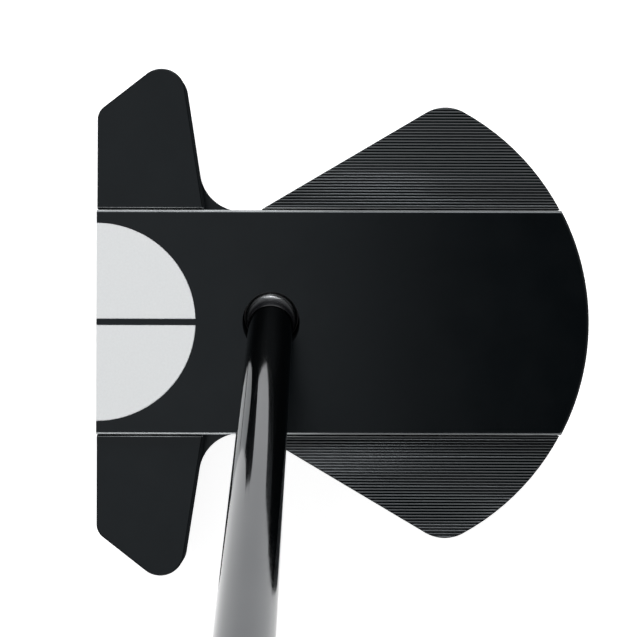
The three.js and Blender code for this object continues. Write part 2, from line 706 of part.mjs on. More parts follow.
// A tapering bar with a flat front, from one distance along the shaft to another.
// Its flat faces away from the golfer, where the thumbs rest.
function gripBar(scale, low, high) {
  const reach = Math.acos(GRIP_FLAT);
  const section = new THREE.Shape();
  section.absarc(0, 0, scale, Math.PI + reach, Math.PI - reach + 2 * Math.PI, false);
  section.closePath();
  const geometry = new THREE.ExtrudeGeometry(section, {
    depth: high - low,
    steps: 4,
    bevelEnabled: false,
    curveSegments: 20,
  });
  geometry.translate(0, 0, low);
  const place = geometry.attributes.position;
  for (let i = 0; i < place.count; i++) {
    const share = (place.getZ(i) - GRIP_S) / GRIP_LENGTH;
    const radius = THREE.MathUtils.lerp(GRIP_LOW_RADIUS, GRIP_HIGH_RADIUS, share);
    place.setX(i, place.getX(i) * radius);
    place.setY(i, place.getY(i) * radius);
  }
  return toSolid(geometry);
}

const gripTop = CLUB_END_S - END_CAP_THICKNESS;

function gripSleeve() {
  const outside = gripBar(1, GRIP_S, gripTop - GAP);
  return onShaft(outside.subtract(gripBar(GRIP_SKIN, GRIP_S - CUT, gripTop)));
}

function gripCore() {
  const { share, clearance, endGap } = GRIP_CORE;
  const core = gripBar(GRIP_SKIN * share, GRIP_S + endGap, gripTop - endGap);
  const room = GRIP_TAPE.thickness + clearance;
  const hole = turned([
    [0, GRIP_S - CUT],
    [TAPER_END_RADIUS + room, GRIP_S - CUT],
    [BUTT_RADIUS + room, CLUB_END_S],
    [0, CLUB_END_S],
  ]);
  return onShaft(core.subtract(hole));
}

function gripTape() {
  const { thickness, clearance, endGap } = GRIP_TAPE;
  const low = GRIP_S + endGap;
  const high = BUTT_S - endGap;
  const slope = (BUTT_RADIUS - TAPER_END_RADIUS) / (BUTT_S - TAPER_END_S);
  const radiusAt = (s) => TAPER_END_RADIUS + (s - TAPER_END_S) * slope + clearance;
  return onShaft(
    turned([
      [radiusAt(low), low],
      [radiusAt(low) + thickness, low],
      [radiusAt(high) + thickness, high],
      [radiusAt(high), high],
      [radiusAt(low), low],
    ]),
  );
}

const headLow = CLUB_END_S - COUNTERWEIGHT.headHeight - COUNTERWEIGHT.sink;

function gripEndCap() {
  const cap = gripBar(1, gripTop, CLUB_END_S);
  const recess = bar(COUNTERWEIGHT.head + END_CAP_ROOM.head, headLow - GAP, CLUB_END_S + CUT);
  const through = bar(COUNTERWEIGHT.stem + END_CAP_ROOM.stem, gripTop - CUT, CLUB_END_S);
  return onShaft(cap.subtract(recess).subtract(through));
}

// ---- Counterweight ------------------------------------------------------------------------------------

function buttInsert() {
  const { length, inner, clearance, sink } = BUTT_INSERT;
  const outer = BUTT_RADIUS - SHAFT_WALL - clearance;
  return onShaft(pipe(outer, inner, BUTT_S - length, BUTT_S - sink));
}

function counterweight() {
  const { stem, stemLength, head, headHeight, bevel } = COUNTERWEIGHT;
  const headHigh = headLow + headHeight;
  const body = joined([
    turned([
      [0, headLow],
      [head, headLow],
      [head, headHigh - bevel],
      [head - bevel, headHigh],
      [0, headHigh],
    ]),
    bar(stem, headLow - stemLength, headLow + OVERLAP),
  ]);
  const hex = hexBar(COUNTERWEIGHT_HEX.radius, headHigh - COUNTERWEIGHT_HEX.depth, CLUB_END_S + CUT);
  return onShaft(body.subtract(hex));
}

function counterweightSeal() {
  const sealHigh = headLow - WEIGHT_SEAL.clearance;
  const low = sealHigh - 2 * COUNTERWEIGHT_SEAL_TUBE - WEIGHT_SEAL.clearance;
  return onShaft(sealRing(COUNTERWEIGHT.stem, COUNTERWEIGHT_SEAL_TUBE, low));
}

// ---- Assembly -----------------------------------------------------------------------------------------

const material = (color, roughness, metalness) =>
  new THREE.MeshStandardMaterial({ color, roughness, metalness });

const blackMetal = material(0x1f2224, 0.42, 0.6);
const crownMetal = material(0x15181a, 0.35, 0.6);
const whiteInlay = material(0xe4e8ea, 0.45, 0);
const blackSteel = material(0x08090a, 0.12, 0.8);
const blackPlastic = material(0x0c0d0e, 0.3, 0);
const darkSteel = material(0x5a5d60, 0.35, 0.9);
const screwSteel = material(0x303234, 0.35, 0.9);
const insertPolymer = material(0x2a2c2e, 0.55, 0);
const softPad = material(0x1a1a1a, 0.9, 0);
const gripSkin = material(0x161718, 0.8, 0);
const gripFoam = material(0x3a3c3e, 0.95, 0);
const tapeWhite = material(0xcfcabb, 0.9, 0);

const putter = new THREE.Group();

function addPiece(name, solid, look) {
  const mesh = new THREE.Mesh(toGeometry(solid), look);
  mesh.name = name;
  putter.add(mesh);
}

addPiece("body_frame", bodyFrame(), blackMetal);
addPiece("crown_bridge", crownBridge(), crownMetal);
addPiece("bridge_gasket", bridgeGasket(), softPad);
addPiece("alignment_inlay_toe", alignmentInlay(-1), whiteInlay);
addPiece("alignment_inlay_heel", alignmentInlay(1), whiteInlay);
addPiece("face_insert", faceInsert(), insertPolymer);
addPiece("face_insert_tape", faceInsertTape(), tapeWhite);
addPiece("sole_plate", solePlate(), blackMetal);
SOLE_SCREW_SPOTS.forEach((spot, i) => {
  addPiece(`sole_screw_${i + 1}`, soleScrewWithSocket(spot), screwSteel);
});
BRIDGE_SCREW_SPOTS.forEach((spot, i) => {
  addPiece(`bridge_screw_${i + 1}`, bridgeScrew(spot), screwSteel);
});
addPiece("toe_weight", soleWeight(-1), darkSteel);
addPiece("heel_weight", soleWeight(1), darkSteel);
addPiece("toe_weight_seal", weightSeal(-1), softPad);
addPiece("heel_weight_seal", weightSeal(1), softPad);
addPiece("shaft_socket", shaftSocket(), darkSteel);
addPiece("socket_bolt", socketBolt(), screwSteel);
addPiece("ferrule", ferrule(), blackPlastic);
addPiece("shaft", shaft(), blackSteel);
addPiece("shaft_tip_plug", tipPlug(), gripFoam);
addPiece("grip_tape", gripTape(), tapeWhite);
addPiece("grip_core", gripCore(), gripFoam);
addPiece("grip_sleeve", gripSleeve(), gripSkin);
addPiece("grip_end_cap", gripEndCap(), gripSkin);
addPiece("butt_insert", buttInsert(), darkSteel);
addPiece("counterweight", counterweight(), darkSteel);
addPiece("counterweight_seal", counterweightSeal(), softPad);

export default putter;
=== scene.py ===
"""The looks of a centre-shafted mallet putter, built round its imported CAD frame.

Everything is in the CAD's frame: origin in the middle of the sole's contact face, +Z up at address,
-Y the way the face looks, +X towards the heel and the golfer. Sizes below are in millimetres.
"""

import math

import bmesh
import bpy
from mathutils import Matrix, Vector


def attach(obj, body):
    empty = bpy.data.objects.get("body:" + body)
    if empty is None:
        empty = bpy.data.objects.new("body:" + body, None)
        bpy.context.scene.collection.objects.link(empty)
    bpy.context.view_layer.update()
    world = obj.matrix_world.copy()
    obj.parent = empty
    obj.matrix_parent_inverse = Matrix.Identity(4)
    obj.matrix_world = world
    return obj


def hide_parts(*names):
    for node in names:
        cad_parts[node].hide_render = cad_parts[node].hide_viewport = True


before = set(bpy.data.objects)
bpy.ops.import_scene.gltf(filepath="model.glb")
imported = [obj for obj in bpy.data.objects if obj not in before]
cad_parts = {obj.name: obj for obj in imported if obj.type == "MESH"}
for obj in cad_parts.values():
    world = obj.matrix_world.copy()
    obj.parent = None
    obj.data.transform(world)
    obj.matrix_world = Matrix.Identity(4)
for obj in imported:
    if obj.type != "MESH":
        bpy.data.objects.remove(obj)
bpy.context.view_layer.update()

MM = 0.001

# ---- Sizes, as in the CAD ------------------------------------------------------------------------------

BACK_RADIUS = 51.9
FACE_TO_CENTRE = 53.8
LOFT = math.radians(3)
CORNER_X = 45.45
WING_POINT = (59.05, -36.35)
WING_ROOT_Y = -31.0
CORNER_RADIUS = 3.5
WING_TIP_RADIUS = 5.2
NOTCH_RADIUS = 9.2
CORNER_SPAN = (4.0, 3.2)  # how far the rounded front corner reaches along the face and behind it
FAN_ROOT_Y = -18.4
FAN_EDGE_ANGLE = math.radians(30.57)
FAN_TIP_RADIUS = 8.3

SOLE_RIM_Z = 0.4
FLOOR_Z = 15.7
DECK_Z = 24.0
CROWN_Z = 26.0
SIDE_DRAFT = 1.2
DECK_BEVEL = 0.3

BRIDGE_HALF = 24.1
CHANNEL_HALF = 24.4
BRIDGE_LOW_Z = 16.0

GROOVE_PITCH = 0.635
GROOVE_WIDTH = 0.56
GROOVE_DEPTH = 0.15
FIRST_GROOVE_X = CHANNEL_HALF + 0.75
GROOVES_END_X = 46.6

BALL_RADIUS = 21.335
SIGHT_LINE = 1.2
INLAY_GAP = 0.04
INLAY_TOP_Z = CROWN_Z - 0.05

# The face insert: half its length, the heights of its long edges, and its corners' radius.
INSERT_HALF, INSERT_LOW, INSERT_HIGH, INSERT_RADIUS = 31.0, 4.5, 21.5, 4.0
INSERT_GAP = 0.3

# The recess of the sole plate: the heel side's corners, then a round back.
PLATE_CORNERS = [(31.5, -50.5), (31.5, -37.2), (19, -30), (19, -19), (39.6, 16)]
PLATE_CORNER_RADIUS = 3.0
PLATE_BACK_RADIUS = 46.5
PLATE_BACK_START = math.radians(43)
PLATE_RECESS_Z = 2.8
PLATE_GAP = 0.3
SOLE_SCREWS = [(28.0, -46.8), (-28.0, -46.8), (15.5, -23.0), (-15.5, -23.0), (35.2, 19.0), (-35.2, 19.0)]

WEIGHT_X, WEIGHT_Y = 40.0, -44.0
WEIGHT_FLANGE = 6.6
WEIGHT_BOSS = 4.6
WEIGHT_LIFT = 0.9
WEIGHT_TOP = 5.4
WEIGHT_GAP = 0.3

# Edge profiles: how far in each step lies, and how far down from a top or up from the sole's rim.
ROUND_EDGE = [(1 - math.cos(a), 1 - math.sin(a)) for a in (math.pi / 8 * i for i in range(4))] + [(1, 0)]
BRIDGE_EDGE = [(0, 0.52), (0.07, 0.38), (0.38, 0.07), (0.52, 0)]
SOLE_EDGE = [(3.3, 0.0), (3.12, 0.04), (2.95, 0.15), (1.24, 1.95), (1.05, 2.25), (0.99, 2.7)]

# Stations along the shaft's line, whose names end in _S, count from where it crosses the crown.
SHAFT_Y = -16.3
LIE_LEAN = math.radians(20)
CLUB_LENGTH = 863.6
GROUND_S = -CROWN_Z / math.cos(LIE_LEAN)
CLUB_END_S = CLUB_LENGTH + GROUND_S
BORE_RADIUS = 6.15
SOCKET_SEAT_S = -21.1
BOLT_LEDGE_S = -22.6
BOLT_WELL_RADIUS = 3.7
BOLT_HOLE_RADIUS = 2.3
BOLT_HEAD_S = -25.4
BOLT_END_S = -18.0
FERRULE_LOW_S = -2.75
FERRULE_HIGH_S = 3.0

TIP_RADIUS = 4.72
BUTT_RADIUS = 7.6
BUTT_SWELL = 0.4
TAPER_GAIN = BUTT_RADIUS - BUTT_SWELL - TIP_RADIUS
WALL = 0.55
TIP_S = -17.0
TAPER_START_S = 150.0
TAPER_END_S = 560.0
BUTT_S = CLUB_END_S - 5.0

GRIP_LENGTH = 265.0
GRIP_S = CLUB_END_S - GRIP_LENGTH
GRIP_LOW_RADIUS = 11.4
GRIP_HIGH_RADIUS = 14.4
GRIP_FLAT = 0.88
GRIP_SEGMENTS = 96
END_CAP = 4.6
COUNTERWEIGHT_S = CLUB_END_S - 3.2
COUNTERWEIGHT_RADIUS = 8.6


# ---- Mesh helpers --------------------------------------------------------------------------------------

WELD = 2e-7  # metres
CREASE_ANGLE = math.radians(25.0)  # edges sharper than this look sharp
RIM_ANGLE = math.radians(4.0)  # and so do edges sharper than this round a large flat
FLAT_AREA = 2.0e-5  # square metres, from which a face counts as a large flat


def add_mesh(name, vertices, faces):
    """A new object from points in millimetres."""
    mesh = bpy.data.meshes.new(name)
    mesh.from_pydata([Vector(v) * MM for v in vertices], [], faces)
    obj = bpy.data.objects.new(name, mesh)
    bpy.context.scene.collection.objects.link(obj)
    tidy(obj)
    return obj


def tidy(obj):
    """Welds what coincides, makes faces look outwards, and marks sharp edges and the rims of flats."""
    bm = bmesh.new()
    bm.from_mesh(obj.data)
    bmesh.ops.remove_doubles(bm, verts=bm.verts, dist=WELD)
    bmesh.ops.recalc_face_normals(bm, faces=bm.faces)
    for face in bm.faces:
        face.smooth = True
    for edge in bm.edges:
        if len(edge.link_faces) == 2:
            angle = edge.calc_face_angle(0.0)
            is_rim = angle > RIM_ANGLE and max(face.calc_area() for face in edge.link_faces) > FLAT_AREA
            edge.smooth = angle < CREASE_ANGLE and not is_rim
    bm.to_mesh(obj.data)
    bm.free()


def ring_faces(lower, upper, count):
    """Faces between two closed rings of vertices, given where each ring's numbering starts."""
    faces = []
    for i in range(count):
        j = (i + 1) % count
        faces.append((lower + i, lower + j, upper + j, upper + i))
    return faces


def turned(name, profile, segments=64, closed=False):
    """A solid of revolution about Z, from (radius, height) pairs. A radius of 0 closes an end."""
    vertices = []
    rings = []
    for radius, height in profile:
        if radius < 1e-6:
            rings.append((len(vertices), 1))
            vertices.append((0.0, 0.0, height))
            continue
        rings.append((len(vertices), segments))
        for i in range(segments):
            angle = 2 * math.pi * i / segments
            vertices.append((radius * math.cos(angle), radius * math.sin(angle), height))
    faces = []
    pairs = list(zip(rings, rings[1:]))
    if closed:
        pairs.append((rings[-1], rings[0]))
    for (a, count_a), (b, count_b) in pairs:
        for i in range(segments):
            j = (i + 1) % segments
            if count_a == 1:
                faces.append((a, b + j, b + i))
            elif count_b == 1:
                faces.append((a + i, a + j, b))
            else:
                faces.append((a + i, a + j, b + j, b + i))
    return add_mesh(name, vertices, faces)


def cut(obj, *tools):
    """Takes the tools' volume out of obj, and removes the tools."""
    for tool in tools:
        modifier = obj.modifiers.new("cut", "BOOLEAN")
        modifier.operation = "DIFFERENCE"
        modifier.solver = "EXACT"
        modifier.object = tool
    shaped = obj.evaluated_get(bpy.context.evaluated_depsgraph_get())
    mesh = bpy.data.meshes.new_from_object(shaped)
    obj.modifiers.clear()
    obj.data = mesh
    for tool in tools:
        bpy.data.objects.remove(tool)
    tidy(obj)
    return obj


def move(obj, matrix):
    """Bakes a placement in millimetres into obj's mesh."""
    place = matrix.copy()
    place.translation = place.translation * MM
    obj.data.transform(place)
    return obj


def at(x, y):
    """A shift in plan."""
    return Matrix.Translation((x, y, 0))


def on_shaft(obj):
    """Lays an object made about Z along the shaft's line, whose zero is where it crosses the crown."""
    place = Matrix.Translation((0, SHAFT_Y, CROWN_Z)) @ Matrix.Rotation(LIE_LEAN, 4, "Y")
    return move(obj, place)


# ---- Outlines in plan ----------------------------------------------------------------------------------


def arc(cx, cy, radius, start, end, step=math.radians(3.0)):
    """Points of an arc, both ends included."""
    count = max(2, math.ceil(abs(end - start) / step))
    points = []
    for i in range(count + 1):
        angle = start + (end - start) * i / count
        points.append((cx + radius * math.cos(angle), cy + radius * math.sin(angle)))
    return points


def corner_arc(before, corner, after, radius):
    """The rounded corner between two straight edges."""
    back = (Vector(before) - Vector(corner)).normalized()
    ahead = (Vector(after) - Vector(corner)).normalized()
    half = back.angle(ahead) / 2
    centre = Vector(corner) + (back + ahead).normalized() * (radius / math.sin(half))
    reach = radius / math.tan(half)
    first = Vector(corner) + back * reach - centre
    last = Vector(corner) + ahead * reach - centre
    start = math.atan2(first.y, first.x)
    turn = math.atan2(last.y, last.x) - start
    turn = (turn + math.pi) % (2 * math.pi) - math.pi
    return arc(centre.x, centre.y, radius, start, start + turn)


def path(points):
    """A closed counter-clockwise outline as (x, y, mx, my), where (mx, my) is the move for an inset of 1."""
    made = []
    count = len(points)
    for i in range(count):
        a, b, c = Vector(points[i - 1]), Vector(points[i]), Vector(points[(i + 1) % count])
        first, second = (b - a).normalized(), (c - b).normalized()
        normal_a, normal_b = Vector((-first.y, first.x)), Vector((-second.y, second.x))
        middle = (normal_a + normal_b).normalized()
        move_by = middle / max(0.1, middle.dot(normal_a))
        made.append((b.x, b.y, move_by.x, move_by.y))
    return made


def inset(outline, distance):
    """The points of a path moved inwards."""
    return [(x + mx * distance, y + my * distance) for x, y, mx, my in outline]


def between(a, b, share):
    """The path point that lies some share of the way from a to b."""
    return tuple(u + (v - u) * share for u, v in zip(a, b))


def mirror(points):
    """The toe side's copy of a heel side path or list of points, kept counter-clockwise."""
    return [(-p[0], p[1]) if len(p) == 2 else (-p[0], p[1], -p[2], p[3]) for p in reversed(points)]


LOFT_RUN = CROWN_Z * math.tan(LOFT)
FACE_FOOT_Y = -FACE_TO_CENTRE - LOFT_RUN


def face_y(z):
    """Where the lofted face stands at a height."""
    return -FACE_TO_CENTRE - (CROWN_Z - z) * math.tan(LOFT)


SLANT = (WING_POINT[0] - CORNER_X) / (WING_POINT[1] + FACE_TO_CENTRE)


def behind_face(x, y, z):
    """A point of the outline, cut off at the face; the rounded corners lean back with the face."""
    if abs(x) > CORNER_X - CORNER_SPAN[0]:
        share = min(1.0, max(0.0, FACE_FOOT_Y + CORNER_SPAN[1] - y))
        run = share * z * math.tan(LOFT)
        x += math.copysign(run * SLANT, x)
        y += run
    return (x, max(y, face_y(z)), z)


def groove_level(x):
    """How far below the fan's top its ribbed surface lies, at a distance from the middle."""
    along = abs(x) - FIRST_GROOVE_X
    if along < 0:
        return 0.0
    half = GROOVE_WIDTH / 2
    return GROOVE_DEPTH * max(0.0, 1.0 - abs(along % GROOVE_PITCH - half) / half)


def groove_samples():
    """Every distance from the middle at which the ribbed surface changes direction."""
    samples = []
    x = FIRST_GROOVE_X
    while x < GROOVES_END_X:
        samples.extend([x, x + GROOVE_WIDTH / 2, x + GROOVE_WIDTH])
        x += GROOVE_PITCH
    return samples


def groove_steps(chain):
    """Where an open chain of path points crosses the groove samples: (segment, share along it)."""
    steps = []
    for k, (a, b) in enumerate(zip(chain, chain[1:])):
        xa, xb = a[0] + a[2] * DECK_BEVEL, b[0] + b[2] * DECK_BEVEL
        shares = [(s - xa) / (xb - xa) for s in groove_samples() if min(xa, xb) < s < max(xa, xb)]
        steps += [(k, share) for share in sorted([0.0, *shares])]
    return steps


def resampled(chain, steps):
    """The chain's points at the given steps, and its last point."""
    return [between(chain[k], chain[k + 1], share) for k, share in steps] + [chain[-1]]


# ---- Head outlines -------------------------------------------------------------------------------------

face_corner = (CORNER_X - LOFT_RUN * SLANT, FACE_FOOT_Y)
notch_corner = (CHANNEL_HALF, WING_ROOT_Y)
fan_root = (CHANNEL_HALF, FAN_ROOT_Y)

wing_outer = corner_arc((0, FACE_FOOT_Y), face_corner, WING_POINT, CORNER_RADIUS)
wing_outer += corner_arc(face_corner, WING_POINT, notch_corner, WING_TIP_RADIUS)
notch_arc = corner_arc(WING_POINT, notch_corner, fan_root, NOTCH_RADIUS)
wing_outline = path([(CHANNEL_HALF, FACE_FOOT_Y), *wing_outer, notch_arc[0], notch_corner])

edge_normal = Vector((math.cos(FAN_EDGE_ANGLE), -math.sin(FAN_EDGE_ANGLE)))
edge_along = Vector((math.sin(FAN_EDGE_ANGLE), math.cos(FAN_EDGE_ANGLE)))
tip_across = edge_normal.dot(Vector(fan_root)) - FAN_TIP_RADIUS
tip_along = math.sqrt((BACK_RADIUS - FAN_TIP_RADIUS) ** 2 - tip_across**2)
tip_centre = edge_normal * tip_across + edge_along * tip_along
tip_end = math.atan2(tip_centre.y, tip_centre.x)
band_back = math.acos(CHANNEL_HALF / BACK_RADIUS)
fan_chain = [
    fan_root,
    *arc(tip_centre.x, tip_centre.y, FAN_TIP_RADIUS, -FAN_EDGE_ANGLE, tip_end),
    *arc(0, 0, BACK_RADIUS, tip_end, band_back)[1:],
]
fan_path = path(fan_chain)
fan_steps = groove_steps(fan_path)
fan_outline = resampled(fan_path, fan_steps)

heel_chain = [(CHANNEL_HALF, FACE_FOOT_Y), *wing_outer, *notch_arc]
band_arc = arc(0, 0, BACK_RADIUS, band_back, math.pi - band_back)[1:-1]
heel_plain = [*heel_chain, *fan_chain]
head_path = path([*heel_plain, *band_arc, *mirror(heel_plain)])
fan_start = len(heel_chain)
heel_half = head_path[:fan_start] + resampled(head_path[fan_start : len(heel_plain)], fan_steps)
head_outline = [*heel_half, *head_path[len(heel_plain) : len(heel_plain) + len(band_arc)], *mirror(heel_half)]
heel_floor = [(CHANNEL_HALF, FACE_FOOT_Y), notch_corner, *notch_arc, fan_chain[0], fan_chain[-1]]
floor_outline = [*heel_floor, *band_arc, *mirror(heel_floor)]


def plate_outline():
    """The outline of the recess that the sole plate sits in."""
    radius = PLATE_BACK_RADIUS
    back = (radius * math.cos(PLATE_BACK_START), radius * math.sin(PLATE_BACK_START))
    corners = [(0, PLATE_CORNERS[0][1]), *PLATE_CORNERS, back]
    half = []
    for before, corner, after in zip(corners, corners[1:], corners[2:]):
        half += corner_arc(before, corner, after, PLATE_CORNER_RADIUS)
    half += arc(0, 0, radius, PLATE_BACK_START, math.pi / 2)
    return path(half + mirror(half)[1:])


# ---- Stacked outlines ----------------------------------------------------------------------------------


class Shell:
    """A mesh put together from walls between outlines and flat regions, cut off at the face if faced."""

    def __init__(self, faced=True):
        self.vertices = []
        self.faces = []
        self.faced = faced

    def ring(self, points, level):
        """Adds a closed ring of vertices; level is a height, or one height for each point."""
        start = len(self.vertices)
        for i, (x, y) in enumerate(points):
            z = level[i] if isinstance(level, list) else level
            self.vertices.append(behind_face(x, y, z) if self.faced else (x, y, z))
        return start

    def wall(self, outline, rings):
        """Walls through rings of one path: (inset, level) from the bottom up."""
        starts = [self.ring(inset(outline, distance), level) for distance, level in rings]
        for lower, upper in zip(starts, starts[1:]):
            self.faces += ring_faces(lower, upper, len(outline))

    def flat(self, outline, level):
        """A flat region at one height."""
        start = self.ring(outline, level)
        self.faces.append(tuple(range(start, start + len(outline))))

    def ribbed(self, outline):
        """The fan's top: flat lands and grooves that run from its front edge to its back edge."""
        start = len(self.vertices)
        self.vertices += [(x, y, DECK_Z - groove_level(x)) for x, y in outline]
        side = [abs(x) for x, _ in outline]
        tip = side.index(max(side))
        front = list(range(tip + 1))
        back = list(range(len(outline) - 1, tip - 1, -1))
        i = j = 0
        while i < len(front) - 1 or j < len(back) - 1:
            next_front = side[front[min(i + 1, len(front) - 1)]]
            next_back = side[back[min(j + 1, len(back) - 1)]]
            face = [front[i]]
            if j == len(back) - 1 or (i < len(front) - 1 and next_front < next_back + 1e-6):
                face.append(front[i + 1])
            if i == len(front) - 1 or (j < len(back) - 1 and next_back < next_front + 1e-6):
                face.append(back[j + 1])
            face.append(back[j])
            i += front[i + 1] in face if i < len(front) - 1 else 0
            j += back[j + 1] in face if j < len(back) - 1 else 0
            corners = list(dict.fromkeys(face))
            if len(corners) > 2:
                self.faces.append(tuple(start + k for k in corners))

    def done(self, name):
        return add_mesh(name, self.vertices, self.faces)


def stacked(name, outline, profile, faced=False):
    """A closed piece from one path and a profile of (inset, height) pairs, bottom to top."""
    shell = Shell(faced)
    shell.wall(outline, profile)
    for distance, level in (profile[0], profile[-1]):
        shell.flat(inset(outline, distance), level)
    return shell.done(name)


# ---- Head pieces ---------------------------------------------------------------------------------------


def weight_hole(side):
    """The stepped hole of a sole weight, as a cutting tool."""
    wide, narrow = WEIGHT_FLANGE + WEIGHT_GAP, WEIGHT_BOSS + WEIGHT_GAP
    shoulder, top = WEIGHT_TOP + 1.1, WEIGHT_TOP + 9.0
    profile = [(0, -5), (wide, -5), (wide, shoulder), (narrow, shoulder), (narrow, top), (0, top)]
    return move(turned("weight_hole", profile), at(side * WEIGHT_X, WEIGHT_Y))


def hex_tool(radius, low, high):
    """A six-sided cutting tool about Z."""
    return turned("hex", [(0, low), (radius, low), (radius, high), (0, high)], segments=6)


def bar_tool(radius, low, high):
    """A round cutting tool about Z."""
    return turned("bar", [(0, low), (radius, low), (radius, high), (0, high)], segments=96)


# The face insert and its pocket are drawn flat, with Y as height below the crown, then stood into the face.
INTO_FACE = (
    Matrix.Translation((0, -FACE_TO_CENTRE, CROWN_Z))
    @ Matrix.Rotation(-LOFT, 4, "X")
    @ Matrix.Rotation(math.pi / 2, 4, "X")
)


def face_panel(name, clearance, profile):
    """A rounded rectangle in the face, from (inset, height) pairs measured outwards from the face."""
    half = INSERT_HALF - clearance
    low = INSERT_LOW + clearance - CROWN_Z
    high = INSERT_HIGH - clearance - CROWN_Z
    corners = [(half, low), (half, high), (-half, high), (-half, low)]
    points = []
    for i, corner in enumerate(corners):
        points += corner_arc(corners[i - 1], corner, corners[(i + 1) % 4], INSERT_RADIUS - clearance)
    return move(stacked(name, path(points), profile), INTO_FACE)


def face_pocket():
    """The insert's pocket, as a cutting tool."""
    return face_panel("face_pocket", 0.0, [(0, -3.3), (0, 5)])


def socket_hole():
    """The stepped bore on the shaft's line, from the sole up past the crown, as a cutting tool."""
    steps = [
        (0, -60), (BOLT_WELL_RADIUS, -60), (BOLT_WELL_RADIUS, BOLT_LEDGE_S), (BOLT_HOLE_RADIUS, BOLT_LEDGE_S),
        (BOLT_HOLE_RADIUS, SOCKET_SEAT_S), (BORE_RADIUS, SOCKET_SEAT_S), (BORE_RADIUS, 5), (0, 5),
    ]
    return on_shaft(turned("socket_hole", steps, 72))


def make_body():
    """The milled body: sole rim, sides and channel floor, then the wings and the ribbed fans."""
    shell = Shell()
    sole_edge = [(distance, SOLE_RIM_Z + up) for distance, up in SOLE_EDGE]
    side = [(SIDE_DRAFT * (FLOOR_Z - z) / (FLOOR_Z - SOLE_RIM_Z), z) for z in (8.0, 12.0, FLOOR_Z)]
    shell.wall(head_outline, sole_edge + side)
    shell.flat(inset(head_outline, sole_edge[0][0]), SOLE_RIM_Z)
    shell.flat(floor_outline, FLOOR_Z)
    deck_edge = [(inward * DECK_BEVEL, DECK_Z - down * DECK_BEVEL) for inward, down in ROUND_EDGE]
    tower = [(0, FLOOR_Z), (0, 18.0), (0, 21.0)]
    for outline in (wing_outline, mirror(wing_outline)):
        shell.wall(outline, tower + deck_edge)
        shell.flat(inset(outline, DECK_BEVEL), DECK_Z)
    for outline in (fan_outline, mirror(fan_outline)):
        top = inset(outline, DECK_BEVEL)
        ceiling = [DECK_Z - groove_level(x) for x, _ in top]
        edge = [(inward, [min(level, z) for z in ceiling]) for inward, level in deck_edge]
        shell.wall(outline, tower + edge)
        shell.ribbed(top)
    made = shell.done("head_body")
    recess = stacked("recess", plate_outline(), [(0, -5), (0, PLATE_RECESS_Z)])
    return cut(made, recess, weight_hole(1), weight_hole(-1), socket_hole(), face_pocket())


def disc_half(side, clearance, front):
    """Half of the alignment disc as a path, open to a line in front of the face or at its foot."""
    radius = BALL_RADIUS - clearance
    inner = SIGHT_LINE / 2 + clearance
    curve = arc(0, -FACE_TO_CENTRE, radius, 0, math.acos(inner / radius), math.radians(2))
    points = [(inner, front), (radius, front), *curve]
    return path(points if side > 0 else mirror(points))


def make_bridge():
    """The raised bridge, with its lofted front, the disc's pockets and the shaft's bore."""
    reach = math.acos(BRIDGE_HALF / BACK_RADIUS)
    back = arc(0, 0, BACK_RADIUS, reach, math.pi - reach, math.radians(2))
    outline = path([(BRIDGE_HALF, FACE_FOOT_Y), *back, (-BRIDGE_HALF, FACE_FOOT_Y)])
    edge = [(inward, CROWN_Z - down) for inward, down in BRIDGE_EDGE]
    made = stacked("bridge_cover", outline, [(0, BRIDGE_LOW_Z), (0, 20.0), *edge], faced=True)
    pockets = [
        stacked("inlay_pocket", disc_half(side, 0.0, -60), [(0, CROWN_Z - 1.5), (0, CROWN_Z + 2)])
        for side in (1, -1)
    ]
    bore = on_shaft(bar_tool(BORE_RADIUS, -20, 8))
    return cut(made, bore, *pockets, face_pocket())


def make_inlay(side, name):
    """Half of the white disc."""
    top = INLAY_TOP_Z
    profile = [(0, CROWN_Z - 1.2), (0, top - 0.1), (0.03, top - 0.03), (0.1, top)]
    return stacked(name, disc_half(side, INLAY_GAP, FACE_FOOT_Y), profile, faced=True)


def make_insert():
    """The face insert, with a softened rim."""
    edge = [(0, -0.3), (0.04, -0.13), (0.13, -0.04), (0.3, 0)]
    return face_panel("face_plate", INSERT_GAP, [(0, -2.4), *edge])


def make_sole_plate():
    """The sole plate, with countersunk screw holes and a way through for the socket bolt's key."""
    outline = path(inset(plate_outline(), PLATE_GAP))
    profile = [(0.4, 0), (0.18, 0.05), (0.05, 0.18), (0, 0.4), (0, 2.5)]
    plate = stacked("sole_cover", outline, profile)
    sinks = []
    for x, y in SOLE_SCREWS:
        profile = [(0, -1), (2.6, -1), (2.6, 0.35), (1.55, 1.6), (1.55, 4), (0, 4)]
        sinks.append(move(turned("sink", profile, 48), at(x, y)))
    return cut(plate, on_shaft(bar_tool(5.2, -60, 10)), *sinks)


def make_sole_screw(index, x, y):
    """A countersunk screw with a hex socket."""
    profile = [
        (0, 0.17), (2.0, 0.17), (2.2, 0.22), (2.3, 0.35), (2.28, 0.45), (1.28, 1.3),
        (1.25, 1.5), (1.25, 7.2), (1.05, 7.5), (0, 7.5),
    ]
    screw = cut(turned(f"sole_bolt_{index}", profile, 48), hex_tool(0.9, -1, 1.1))
    return move(screw, at(x, y))


